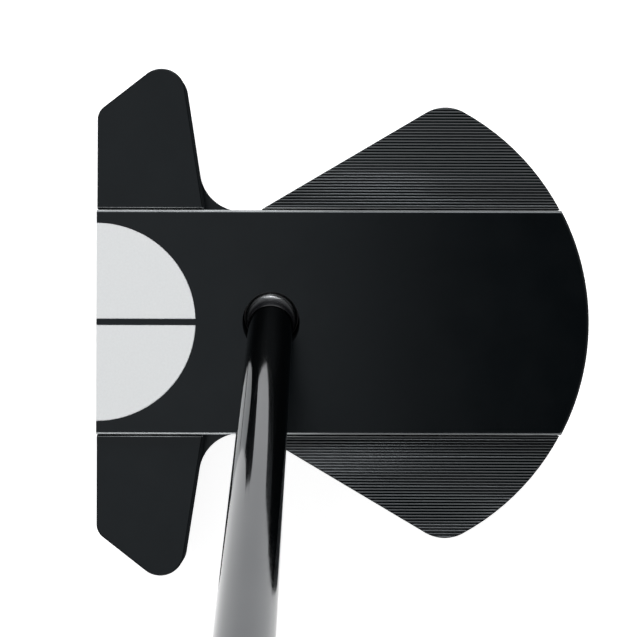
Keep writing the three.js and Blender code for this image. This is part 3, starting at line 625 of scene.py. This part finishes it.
def make_weight(side, name):
    """A sole weight: a flange with a shallow ring turned in it, a threaded boss and a hex socket."""
    flange, lift, top = WEIGHT_FLANGE, WEIGHT_LIFT, WEIGHT_TOP
    profile = [
        (0, lift), (3.4, lift), (3.55, lift + 0.15), (3.7, lift), (5.9, lift), (6.35, lift + 0.12),
        (flange, lift + 0.4), (flange, top - 0.2), (flange - 0.2, top), (WEIGHT_BOSS + 0.2, top),
        (WEIGHT_BOSS, top + 0.2), (WEIGHT_BOSS, top + 7.5), (WEIGHT_BOSS - 0.5, top + 8), (0, top + 8),
    ]
    weight = cut(turned(name, profile, 96), hex_tool(2.2, -1, lift + 3.2))
    return move(weight, at(side * WEIGHT_X, WEIGHT_Y))


def make_socket_bolt():
    """The bolt that holds the shaft socket down, head at the bottom."""
    low, end = BOLT_HEAD_S, BOLT_END_S
    seat = BOLT_LEDGE_S - 0.3
    profile = [
        (0, low), (3.1, low), (3.34, low + 0.1), (3.4, low + 0.3), (3.4, seat - 0.2), (3.2, seat),
        (2.0, seat), (2.0, end - 0.2), (1.8, end), (0, end),
    ]
    return on_shaft(cut(turned("socket_screw", profile), hex_tool(1.25, low - 1.6, low + 1.6)))


def make_ferrule():
    """A slightly tapered collar with a rounded foot flange."""
    low, high = FERRULE_LOW_S, FERRULE_HIGH_S
    flange = [(5.45, 0.0), (5.6, 0.08), (5.62, 0.2), (5.52, 0.33), (5.3, 0.45), (5.12, 0.53), (5.04, 0.65)]
    taper = [(5.02, 4.6), (5.0, 2.6), (4.96, 1.2), (4.93, 0.4), (4.9, 0.1), (4.86, 0.0), (4.82, 0.1)]
    profile = [(4.82, low)]
    profile += [(radius, low + up) for radius, up in flange]
    profile += [(radius, high - down) for radius, down in taper]
    return on_shaft(turned("collar", profile, 128, closed=True))


# ---- Shaft and grip ------------------------------------------------------------------------------------


def shaft_radius(s):
    """Parallel at the tip, then a straight taper, then a slight swell towards the butt."""
    if s < TAPER_START_S:
        return TIP_RADIUS
    if s < TAPER_END_S:
        return TIP_RADIUS + TAPER_GAIN * (s - TAPER_START_S) / (TAPER_END_S - TAPER_START_S)
    return TIP_RADIUS + TAPER_GAIN + BUTT_SWELL * (s - TAPER_END_S) / (BUTT_S - TAPER_END_S)


def make_shaft():
    """The tube of the shaft, open at both ends."""
    stations = [TIP_S, -8.0, 10.0, 40.0, 80.0, TAPER_START_S]
    stations += [TAPER_START_S + (TAPER_END_S - TAPER_START_S) * i / 12 for i in range(1, 13)]
    stations += [700.0, BUTT_S]
    outside = [(shaft_radius(s), s) for s in stations]
    inside = [(shaft_radius(s) - WALL, s) for s in reversed(stations)]
    return on_shaft(turned("shaft_tube", outside + inside, 128, closed=True))


def grip_section(scale):
    """The grip's outline about the shaft's line: round, with a flat front and softened corners."""
    points = []
    sharpness = 60.0
    for i in range(GRIP_SEGMENTS):
        angle = 2 * math.pi * i / GRIP_SEGMENTS
        flat = GRIP_FLAT / max(0.05, -math.cos(angle))
        level = -math.log(math.exp(-sharpness) + math.exp(-sharpness * flat)) / sharpness
        points.append((scale * level * math.cos(angle), scale * level * math.sin(angle)))
    return points


def grip_radius(s):
    """The grip widens evenly towards the butt."""
    share = (s - GRIP_S) / GRIP_LENGTH
    return GRIP_LOW_RADIUS + share * (GRIP_HIGH_RADIUS - GRIP_LOW_RADIUS)


def grip_mesh(name, rings):
    """A D-shaped piece from rings of (scale, height, roundness); roundness 1 makes the ring circular."""
    vertices, faces = [], []
    for scale, height, roundness in rings:
        for i, (x, y) in enumerate(grip_section(scale)):
            angle = 2 * math.pi * i / GRIP_SEGMENTS
            cx, cy = scale * math.cos(angle), scale * math.sin(angle)
            vertices.append((x + (cx - x) * roundness, y + (cy - y) * roundness, height))
    for k in range(len(rings) - 1):
        faces += ring_faces(k * GRIP_SEGMENTS, (k + 1) * GRIP_SEGMENTS, GRIP_SEGMENTS)
    return add_mesh(name, vertices, faces)


def make_grip():
    """The outer skin of the grip: a rounded lower end, an even widening, and hollow inside."""
    top = CLUB_END_S - END_CAP - 0.3
    hole = shaft_radius(GRIP_S) + 0.08
    lip = 1.6
    rings = [(hole, GRIP_S + 0.9, 1.0), (hole, GRIP_S + 0.25, 1.0), (hole + 0.25, GRIP_S, 1.0)]
    for inward, up in ((lip, 0.0), (0.75, 0.22), (0.2, 0.8), (0.0, lip)):
        rings.append((GRIP_LOW_RADIUS - inward, GRIP_S + up, 0.0))
    for i in range(1, 41):
        s = GRIP_S + lip + (top - GRIP_S - lip) * i / 40
        rings.append((grip_radius(s), s, 0.0))
    rings.append((grip_radius(top) * 0.9, top, 0.0))
    rings.append((grip_radius(GRIP_S + 1.0) * 0.9, GRIP_S + 0.9, 0.0))
    rings.append(rings[0])
    return on_shaft(grip_mesh("grip_skin", rings))


def make_end_cap():
    """The cap on the grip's end, with a well for the counterweight."""
    low, high = CLUB_END_S - END_CAP, CLUB_END_S
    rings = [(grip_radius(low) - 0.25, low, 0.0), (grip_radius(low), low + 0.25, 0.0)]
    for inward, down in ((0.0, 1.5), (0.12, 0.95), (0.45, 0.4), (0.95, 0.1), (1.5, 0.0)):
        rings.append((grip_radius(high - down) - inward, high - down, 0.0))
    cap = grip_mesh("grip_cap", rings)
    bm = bmesh.new()
    bm.from_mesh(cap.data)
    bmesh.ops.holes_fill(bm, edges=[e for e in bm.edges if e.is_boundary], sides=0)
    bm.to_mesh(cap.data)
    bm.free()
    floor, wide, narrow = COUNTERWEIGHT_S - 0.3, COUNTERWEIGHT_RADIUS + 0.5, 5.4
    profile = [
        (0, low - 2), (narrow, low - 2), (narrow, floor), (wide, floor),
        (wide, high - 0.3), (wide + 0.5, high + 0.2), (wide + 0.5, high + 2), (0, high + 2),
    ]
    return on_shaft(cut(cap, turned("well", profile, 96)))


def make_counterweight():
    """The counterweight: a wide head with a ring turned in it and a hex socket, on a long stem."""
    low, high = COUNTERWEIGHT_S, COUNTERWEIGHT_S + 3.0
    wide = COUNTERWEIGHT_RADIUS
    profile = [
        (0, low - 38), (3.5, low - 38), (4.0, low - 37.5), (4.0, low - 0.2), (4.2, low), (wide - 0.2, low),
        (wide, low + 0.2), (wide, high - 0.6), (wide - 0.15, high - 0.25), (wide - 0.6, high), (5.2, high),
        (5.0, high - 0.2), (4.8, high), (0, high),
    ]
    weight = turned("butt_weight", profile, 96)
    return on_shaft(cut(weight, hex_tool(3.0, high - 2.2, high + 3)))


# ---- Materials -----------------------------------------------------------------------------------------

# Painted highlight for the lands between the fans' grooves.
PAINTED_LAND_HIGHLIGHT = (0.094, 0.1, 0.104)
# A flat painted grey for walls and undersides, standing in for their reflections.
PAINTED_WALL_SHADING = (0.011, 0.0125, 0.014)
# Bare metal, which the channels' edges show and which also paints the bevels' highlight.
BARE_METAL_AND_HIGHLIGHT = (0.752, 0.784, 0.8)
BAND_SOFTNESS = 0.03
LAND_START, LAND_FULL = 0.15, 0.22  # distances from the middle of a groove, between which a land begins
EDGE_MARGIN = 0.05
# From here back, the channel edges' painted highlight weakens.
HIGHLIGHT_FADE_START_Y = -22.0


class Look:
    """A Principled material and short ways to wire procedural detail into it."""

    def __init__(self, name, **sockets):
        self.material = bpy.data.materials.new(name)
        self.material.use_nodes = True
        self.tree = self.material.node_tree
        self.shader = self.tree.nodes["Principled BSDF"]
        for socket, value in sockets.items():
            self.shader.inputs[socket].default_value = value
        self.place = self.tree.nodes.new("ShaderNodeTexCoord").outputs["Object"]

    def node(self, kind, inputs=None, **settings):
        """A new node; an input is linked if it is given a socket, and set if it is given a value."""
        made = self.tree.nodes.new(kind)
        for key, value in settings.items():
            setattr(made, key, value)
        for key, value in (inputs or {}).items():
            if isinstance(value, bpy.types.NodeSocket):
                self.tree.links.new(value, made.inputs[key])
            else:
                made.inputs[key].default_value = value
        return made

    def stretched(self, scale, turn=(0, 0, 0)):
        """Object coordinates scaled along each axis, after a turn."""
        sockets = {"Vector": self.place, "Scale": scale, "Rotation": turn}
        return self.node("ShaderNodeMapping", sockets).outputs[0]

    def axes(self):
        """The object coordinates X, Y and Z, each on its own."""
        return self.node("ShaderNodeSeparateXYZ", {0: self.place}).outputs

    def upward(self):
        """How far the surface looks up: 1 on level tops, 0 on walls and -1 underneath."""
        facing = self.node("ShaderNodeTexCoord").outputs["Normal"]
        return self.node("ShaderNodeSeparateXYZ", {0: facing}).outputs["Z"]

    def noise(self, scale, detail=3.0, rough=0.55, where=None):
        sockets = {"Vector": where or self.place, "Scale": scale, "Detail": detail, "Roughness": rough}
        return self.node("ShaderNodeTexNoise", sockets).outputs["Fac"]

    def spread(self, value, low, high, from_low=0.3, from_high=0.7):
        """Maps what lies between two limits to a range, and holds it level outside them."""
        sockets = {"Value": value, "From Min": from_low, "From Max": from_high, "To Min": low, "To Max": high}
        return self.node("ShaderNodeMapRange", sockets).outputs["Result"]

    def band(self, value, low, high):
        """1 where a distance lies between two limits in millimetres, and 0 outside them."""
        enter = self.spread(value, 0.0, 1.0, low * MM, (low + BAND_SOFTNESS) * MM)
        leave = self.spread(value, 1.0, 0.0, (high - BAND_SOFTNESS) * MM, high * MM)
        return self.math("MULTIPLY", enter, leave)

    def ribs(self):
        """Two masks of the fans' tops: 1 on the lands between their grooves, and 1 in the grooves."""
        x, y, z = self.axes()
        beside = self.math("ABSOLUTE", x)
        along = self.math("SUBTRACT", beside, FIRST_GROOVE_X * MM)
        phase = self.math("FLOORED_MODULO", along, GROOVE_PITCH * MM)
        off_centre = self.math("ABSOLUTE", self.math("SUBTRACT", phase, GROOVE_WIDTH / 2 * MM))
        lands = self.spread(off_centre, 0.0, 1.0, LAND_START * MM, LAND_FULL * MM)
        fan = self.band(beside, FIRST_GROOVE_X - 0.1, GROOVES_END_X)
        high = self.band(z, DECK_Z - 0.3, DECK_Z + 0.1)
        behind = self.spread(y, 0.0, 1.0, (FAN_ROOT_Y - 1.1) * MM, (FAN_ROOT_Y - 1.0) * MM)
        top = self.product(fan, high, behind)
        ridges = self.product(lands, top)
        return ridges, self.math("SUBTRACT", top, ridges)

    def channel_highlights(self, up):
        """A mask of the bridge's and the decks' edges along the channels, where they show bare metal, weaker
        towards the back as a painted falloff of light.
        """
        x, y, z = self.axes()
        beside = self.math("ABSOLUTE", x)
        chamfer = self.product(
            self.band(beside, BRIDGE_HALF - 0.6, BRIDGE_HALF + EDGE_MARGIN),
            self.spread(up, 0.5, 0.0, 0.80, 0.88),
            self.band(z, CROWN_Z - 0.55, CROWN_Z + 0.1),
        )
        lip = self.product(
            self.band(beside, CHANNEL_HALF - EDGE_MARGIN, CHANNEL_HALF + DECK_BEVEL + EDGE_MARGIN),
            self.spread(up, 0.0, 1.0, 0.3, 0.5),
            self.band(z, DECK_Z - 0.4, DECK_Z + 0.1),
        )
        # Painted falloff of light: the edges grow weaker towards the back.
        light_falloff = self.spread(y, 1.0, 0.45, HIGHLIGHT_FADE_START_Y * MM, 0.0)
        return self.product(self.math("MAXIMUM", chamfer, lip), light_falloff)

    def product(self, first, *others):
        """All the given values multiplied together."""
        for other in others:
            first = self.math("MULTIPLY", first, other)
        return first

    def math(self, operation, a, b=0.0):
        return self.node("ShaderNodeMath", {0: a, 1: b}, operation=operation).outputs[0]

    def mixed(self, share, a, b):
        """Colour a where share is 0, and colour b where it is 1."""
        made = self.node("ShaderNodeMix", data_type="RGBA")
        for socket, value in (("Factor_Float", share), ("A_Color", a), ("B_Color", b)):
            target = next(s for s in made.inputs if s.identifier == socket)
            if isinstance(value, bpy.types.NodeSocket):
                self.tree.links.new(value, target)
            else:
                target.default_value = (*value, 1.0)
        return next(s for s in made.outputs if s.identifier == "Result_Color")

    def link(self, socket, name):
        self.tree.links.new(socket, self.shader.inputs[name])

    def color(self, socket):
        self.link(socket, "Base Color")

    def roughness(self, socket):
        self.link(socket, "Roughness")

    def bump(self, height, strength, distance, under=None):
        """A shading normal from a height; distance is the depth of the relief in millimetres."""
        sockets = {"Height": height, "Strength": strength, "Distance": distance * MM}
        if under:
            sockets["Normal"] = under
        return self.node("ShaderNodeBump", sockets).outputs["Normal"]

    def normal(self, socket):
        self.link(socket, "Normal")


def blasted_metal(name, color, roughness, spread=0.04, grain=0.35):
    """Bead-blasted metal with a dark dye: a fine even grain and cloudy changes of gloss, with painted light
    on top: lighter lands on the fans, a flat grey on walls, highlights on the bevels, and bare metal along
    the channels that a painted falloff dims towards the back.
    """
    look = Look(name, **{"Specular Tint": (0.86, 0.94, 1.0, 1.0)})
    up = look.upward()
    ridges, grooves = look.ribs()
    dark, light = tuple(c * 0.86 for c in color), tuple(c * 1.14 for c in color)
    dye_and_painted_light = look.mixed(look.spread(look.noise(45.0, 4.0), 0.0, 1.0), dark, light)
    # The lands between the fans' grooves take a lighter grey: a painted highlight.
    dye_and_painted_light = look.mixed(ridges, dye_and_painted_light, PAINTED_LAND_HIGHLIGHT)
    # Walls and undersides take a flat lighter grey in place of reflections: painted shading by which way a
    # surface faces.
    dye_and_painted_light = look.mixed(look.spread(up, 1.0, 0.0, 0.2, 0.6), dye_and_painted_light, PAINTED_WALL_SHADING)
    # Bare metal along the channels' edges, weakened towards the back by a painted falloff of light.
    channel = look.channel_highlights(up)
    # A little bare metal colour on every bevel, dimmed in patches: a painted highlight.
    painted_bevel_highlight = look.product(look.spread(up, 0.0, 0.02, 0.2, 0.5), look.spread(up, 1.0, 0.0, 0.76, 0.86))
    patchy = look.spread(look.noise(260.0, 4.0), 0.8, 1.0)
    look.color(look.mixed(look.product(look.math("MAXIMUM", channel, painted_bevel_highlight), patchy), dye_and_painted_light, BARE_METAL_AND_HIGHLIGHT))
    look.link(channel, "Metallic")
    # Only surfaces facing up reflect; walls show their painted grey instead.
    glossy_tops = look.spread(up, 0.0, 0.5, 0.75, 0.95)
    # The fans' grooves reflect a tenth as much as their lands: painted shade in the grooves.
    look.link(look.product(glossy_tops, look.spread(grooves, 1.0, 0.1, 0.0, 1.0)), "Specular IOR Level")
    look.roughness(look.spread(look.noise(110.0, 5.0), roughness - spread, roughness + spread))
    coarse = look.bump(look.noise(1800.0, 3.0), grain * 0.4, 0.02)
    look.normal(look.bump(look.noise(9000.0, 2.0), grain, 0.01, coarse))
    return look.material


def turned_metal(name, color, roughness):
    """Machined steel: fine tool marks, and a little smearing of the gloss."""
    look = Look(name, Metallic=1.0)
    marks = look.noise(700.0, 6.0, 0.7, look.stretched((1.0, 1.0, 14.0)))
    look.color(look.mixed(look.spread(look.noise(160.0), 0.0, 1.0), tuple(c * 0.85 for c in color), color))
    look.roughness(look.spread(marks, roughness - 0.06, roughness + 0.1))
    look.normal(look.bump(marks, 0.12, 0.02))
    return look.material


def moulded(name, color, roughness, grain_scale, grain, distance=0.03):
    """Moulded rubber or plastic: a fine grain over a slightly uneven colour."""
    look = Look(name)
    light = tuple(min(1.0, c * 1.2 + 0.002) for c in color)
    look.color(look.mixed(look.spread(look.noise(130.0, 4.0), 0.0, 1.0), color, light))
    look.roughness(look.spread(look.noise(420.0), roughness - 0.05, roughness + 0.05))
    look.normal(look.bump(look.noise(grain_scale, 4.0), grain, distance))
    return look.material


def polished_black():
    """Black plating over polished steel, a little hazy in fine streaks along the shaft."""
    look = Look("polished_black", Metallic=1.0)
    along = look.stretched((1.0, 1.0, 0.02), (0, -LIE_LEAN, 0))
    streaks = look.noise(2600.0, 4.0, 0.6, along)
    cloud = look.noise(35.0, 3.0)
    look.color(look.mixed(look.spread(cloud, 0.0, 1.0), (0.090, 0.094, 0.099), (0.104, 0.108, 0.113)))
    look.roughness(look.spread(streaks, 0.05, 0.10))
    look.normal(look.bump(streaks, 0.05, 0.005))
    return look.material


def collar_plastic():
    """Glossy black plastic with a bare metal ring at its foot, and above the ring a pale painted sheen that
    thins out upwards.
    """
    look = Look("collar_plastic")
    sockets = {0: look.place, 1: (math.sin(LIE_LEAN), 0.0, math.cos(LIE_LEAN))}
    along = look.node("ShaderNodeVectorMath", sockets, operation="DOT_PRODUCT").outputs["Value"]
    zero = CROWN_Z * math.cos(LIE_LEAN)
    ring_top = zero + FERRULE_LOW_S + 0.6
    ring = look.band(along, ring_top - 0.85, ring_top)
    # A pale painted sheen above the ring, fading out upwards.
    painted_sheen = look.spread(along, 1.0, 0.0, (ring_top - 0.05) * MM, (zero + 1.0) * MM)
    painted_sheen = look.product(painted_sheen, look.spread(look.noise(300.0), 0.85, 1.0))
    plastic_and_painted_sheen = look.mixed(painted_sheen, (0.005, 0.005, 0.006), (0.085, 0.088, 0.092))
    look.color(look.mixed(ring, plastic_and_painted_sheen, (0.62, 0.64, 0.66)))
    look.link(ring, "Metallic")
    look.roughness(look.spread(look.noise(420.0), 0.20, 0.28))
    look.normal(look.bump(look.noise(3000.0, 4.0), 0.02, 0.01))
    return look.material


def white_resin():
    """The matt white filling of the alignment disc, with a fine speckle."""
    look = Look("white_resin", **{"Specular IOR Level": 0.4})
    speckle = look.noise(2200.0, 4.0)
    look.color(look.mixed(look.spread(speckle, 0.0, 1.0), (0.88, 0.90, 0.91), (0.92, 0.94, 0.95)))
    look.roughness(look.spread(look.noise(300.0), 0.42, 0.52))
    look.normal(look.bump(speckle, 0.12, 0.01))
    return look.material


def milled_insert():
    """A cast polymer face with crossed rows of shallow milled facets."""
    look = Look("milled_insert")
    waves = []
    for turn in (math.radians(45), math.radians(-45)):
        sockets = {"Vector": look.stretched((1.0, 1.0, 1.0), (0, turn, 0)), "Scale": 200.0, "Distortion": 0.0}
        wave = look.node("ShaderNodeTexWave", sockets, bands_direction="X", wave_profile="TRI")
        waves.append(wave.outputs["Fac"])
    rows = look.math("MINIMUM", *waves)
    look.color(look.mixed(look.spread(rows, 0.0, 1.0, 0.0, 0.5), (0.022, 0.024, 0.027), (0.05, 0.053, 0.058)))
    look.roughness(look.spread(look.noise(500.0), 0.42, 0.55))
    look.normal(look.bump(rows, 0.6, 0.12, look.bump(look.noise(5000.0), 0.2, 0.01)))
    return look.material


def grip_rubber():
    """Soft polyurethane with a fine diamond texture."""
    look = Look("grip_rubber", **{"Specular IOR Level": 0.35})
    cells = look.node("ShaderNodeTexVoronoi", {"Vector": look.place, "Scale": 900.0}).outputs["Distance"]
    cloud = look.noise(90.0, 5.0)
    look.color(look.mixed(look.spread(cloud, 0.0, 1.0), (0.015, 0.0155, 0.016), (0.028, 0.0285, 0.029)))
    look.roughness(look.spread(look.noise(600.0), 0.62, 0.8))
    look.normal(look.bump(cells, 0.5, 0.12, look.bump(look.noise(4000.0), 0.3, 0.03)))
    return look.material


def pale_floor():
    """A white light table: matt, and lit a little from inside."""
    look = Look("pale_floor", Roughness=0.9, **{"Specular IOR Level": 0.1, "Emission Strength": 0.85})
    pale = look.mixed(look.spread(look.noise(6.0), 0.0, 1.0), (0.90, 0.90, 0.90), (0.92, 0.92, 0.92))
    look.color(pale)
    look.link(pale, "Emission Color")
    return look.material


body_black = blasted_metal("body_black", (0.0008, 0.0018, 0.0026), 0.24, 0.02, 0.2)
crown_black = blasted_metal("crown_black", (0.0006, 0.0015, 0.0022), 0.22, 0.02, 0.15)
sole_black = blasted_metal("sole_black", (0.006, 0.0068, 0.0074), 0.4)
shaft_black = polished_black()
collar_black = collar_plastic()
inlay_white = white_resin()
insert_grey = milled_insert()
screw_black = turned_metal("screw_black", (0.10, 0.10, 0.105), 0.36)
weight_steel = turned_metal("weight_steel", (0.42, 0.43, 0.44), 0.3)
socket_steel = turned_metal("socket_steel", (0.30, 0.30, 0.31), 0.32)
grip_black = grip_rubber()
foam_grey = moulded("foam_grey", (0.05, 0.05, 0.055), 0.9, 1500.0, 0.6, 0.3)
pad_black = moulded("pad_black", (0.012, 0.012, 0.012), 0.7, 2500.0, 0.3)
tape_cream = moulded("tape_cream", (0.55, 0.52, 0.44), 0.8, 1800.0, 0.2)
plug_grey = moulded("plug_grey", (0.18, 0.18, 0.17), 0.55, 2500.0, 0.2)


# ---- Assembly ------------------------------------------------------------------------------------------


def fit(obj, node, material, body="club"):
    """Puts a finished piece in place of a CAD node."""
    obj.data.materials.clear()
    obj.data.materials.append(material)
    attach(obj, body)
    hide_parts(node)


def finish_node(node, material):
    """Gives a CAD node that stays its material."""
    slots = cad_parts[node].data.materials
    slots.clear()
    slots.append(material)


fit(make_body(), "body_frame", body_black)
fit(make_bridge(), "crown_bridge", crown_black)
fit(make_inlay(-1, "inlay_toe"), "alignment_inlay_toe", inlay_white)
fit(make_inlay(1, "inlay_heel"), "alignment_inlay_heel", inlay_white)
fit(make_insert(), "face_insert", insert_grey)
fit(make_sole_plate(), "sole_plate", sole_black)
for index, (x, y) in enumerate(SOLE_SCREWS, 1):
    fit(make_sole_screw(index, x, y), f"sole_screw_{index}", screw_black)
fit(make_weight(-1, "toe_plug"), "toe_weight", weight_steel, "toe_weight")
fit(make_weight(1, "heel_plug"), "heel_weight", weight_steel, "heel_weight")
fit(make_socket_bolt(), "socket_bolt", screw_black)
fit(make_ferrule(), "ferrule", collar_black)
fit(make_shaft(), "shaft", shaft_black)
fit(make_grip(), "grip_sleeve", grip_black)
fit(make_end_cap(), "grip_end_cap", grip_black)
fit(make_counterweight(), "counterweight", weight_steel, "counterweight")

finish_node("bridge_gasket", pad_black)
finish_node("face_insert_tape", tape_cream)
finish_node("toe_weight_seal", pad_black)
finish_node("heel_weight_seal", pad_black)
finish_node("counterweight_seal", pad_black)
finish_node("shaft_socket", socket_steel)
finish_node("shaft_tip_plug", plug_grey)
finish_node("grip_tape", tape_cream)
finish_node("grip_core", foam_grey)
finish_node("butt_insert", socket_steel)
for index in range(1, 5):
    finish_node(f"bridge_screw_{index}", screw_black)


# ---- Floor, light and camera ---------------------------------------------------------------------------

FLOOR_HALF = 20000.0
FLOOR_DROP = 0.2  # millimetres below the sole, so that the two never coincide


def make_floor():
    corners = [(x * FLOOR_HALF, y * FLOOR_HALF, -FLOOR_DROP) for x, y in ((-1, -1), (1, -1), (1, 1), (-1, 1))]
    floor = add_mesh("floor", corners, [(0, 1, 2, 3)])
    floor.data.materials.append(pale_floor())


def softbox(name, place, target, width, height, power):
    """A rectangular light, facing a target: places and sizes in metres, power in watts."""
    light = bpy.data.lights.new(name, "AREA")
    light.shape = "RECTANGLE"
    light.size, light.size_y = width, height
    light.energy = power
    obj = bpy.data.objects.new(name, light)
    obj.location = place
    obj.rotation_euler = (Vector(target) - Vector(place)).to_track_quat("-Z", "Y").to_euler()
    bpy.context.scene.collection.objects.link(obj)


# The studio's brightness against height: (share of the way up, level).
SKY_LEVELS = [(0.0, 0.70), (0.25, 0.42), (0.60, 0.12), (0.85, 0.03), (1.0, 0.015)]


def make_world():
    """A dim grey studio, darkest straight overhead."""
    world = bpy.data.worlds.new("studio")
    bpy.context.scene.world = world
    world.use_nodes = True
    nodes, links = world.node_tree.nodes, world.node_tree.links
    place = nodes.new("ShaderNodeTexCoord").outputs["Generated"]
    split = nodes.new("ShaderNodeSeparateXYZ")
    links.new(place, split.inputs[0])
    ramp = nodes.new("ShaderNodeValToRGB")
    elements = ramp.color_ramp.elements
    while len(elements) < len(SKY_LEVELS):
        elements.new(0.5)
    for element, (position, level) in zip(elements, SKY_LEVELS):
        element.position = position
        element.color = (level, level, level, 1)
    links.new(split.outputs["Z"], ramp.inputs["Fac"])
    links.new(ramp.outputs["Color"], nodes["Background"].inputs["Color"])


def make_lights():
    """A soft light overhead and in front of the face, and lower ones beside toe, heel and face."""
    softbox("overhead", (-0.02, -0.27, 1.5), (-0.02, -0.27, 0), 0.95, 0.62, 1.0)
    softbox("toe_side", (-1.45, 0.1, 0.75), (0, 0, 0.02), 1.6, 0.7, 29.0)
    softbox("heel_side", (1.5, 0.2, 0.45), (0, 0, 0.02), 1.2, 0.5, 13.0)
    softbox("face_side", (-0.3, -1.5, 0.8), (0, 0, 0.02), 1.4, 0.7, 5.0)


CAMERA_PLACE = (0.00058, -0.00401, 0.4393)  # metres
CAMERA_TILT = (-0.0034, -0.0051, -0.0024)  # radians about the view's own X, Y and Z
SENSOR_WIDTH = 36.0
LENS = 108.904  # both in millimetres


def make_camera():
    """Straight above the head at the height of the hands, toe up and heel down in the frame."""
    data = bpy.data.cameras.new("camera")
    data.sensor_width = SENSOR_WIDTH
    data.lens = LENS
    data.clip_start = 0.01
    camera = bpy.data.objects.new("camera", data)
    toe_up = Matrix(((0, 1, 0), (-1, 0, 0), (0, 0, 1)))
    about_x, about_y, about_z = (Matrix.Rotation(a, 3, axis) for a, axis in zip(CAMERA_TILT, "XYZ"))
    turned_to = (about_z @ about_y @ about_x @ toe_up).transposed().to_4x4()
    camera.matrix_world = Matrix.Translation(CAMERA_PLACE) @ turned_to
    bpy.context.scene.collection.objects.link(camera)
    bpy.context.scene.camera = camera


make_floor()
make_world()
make_lights()
make_camera()
bpy.context.scene.view_settings.view_transform = "Standard"
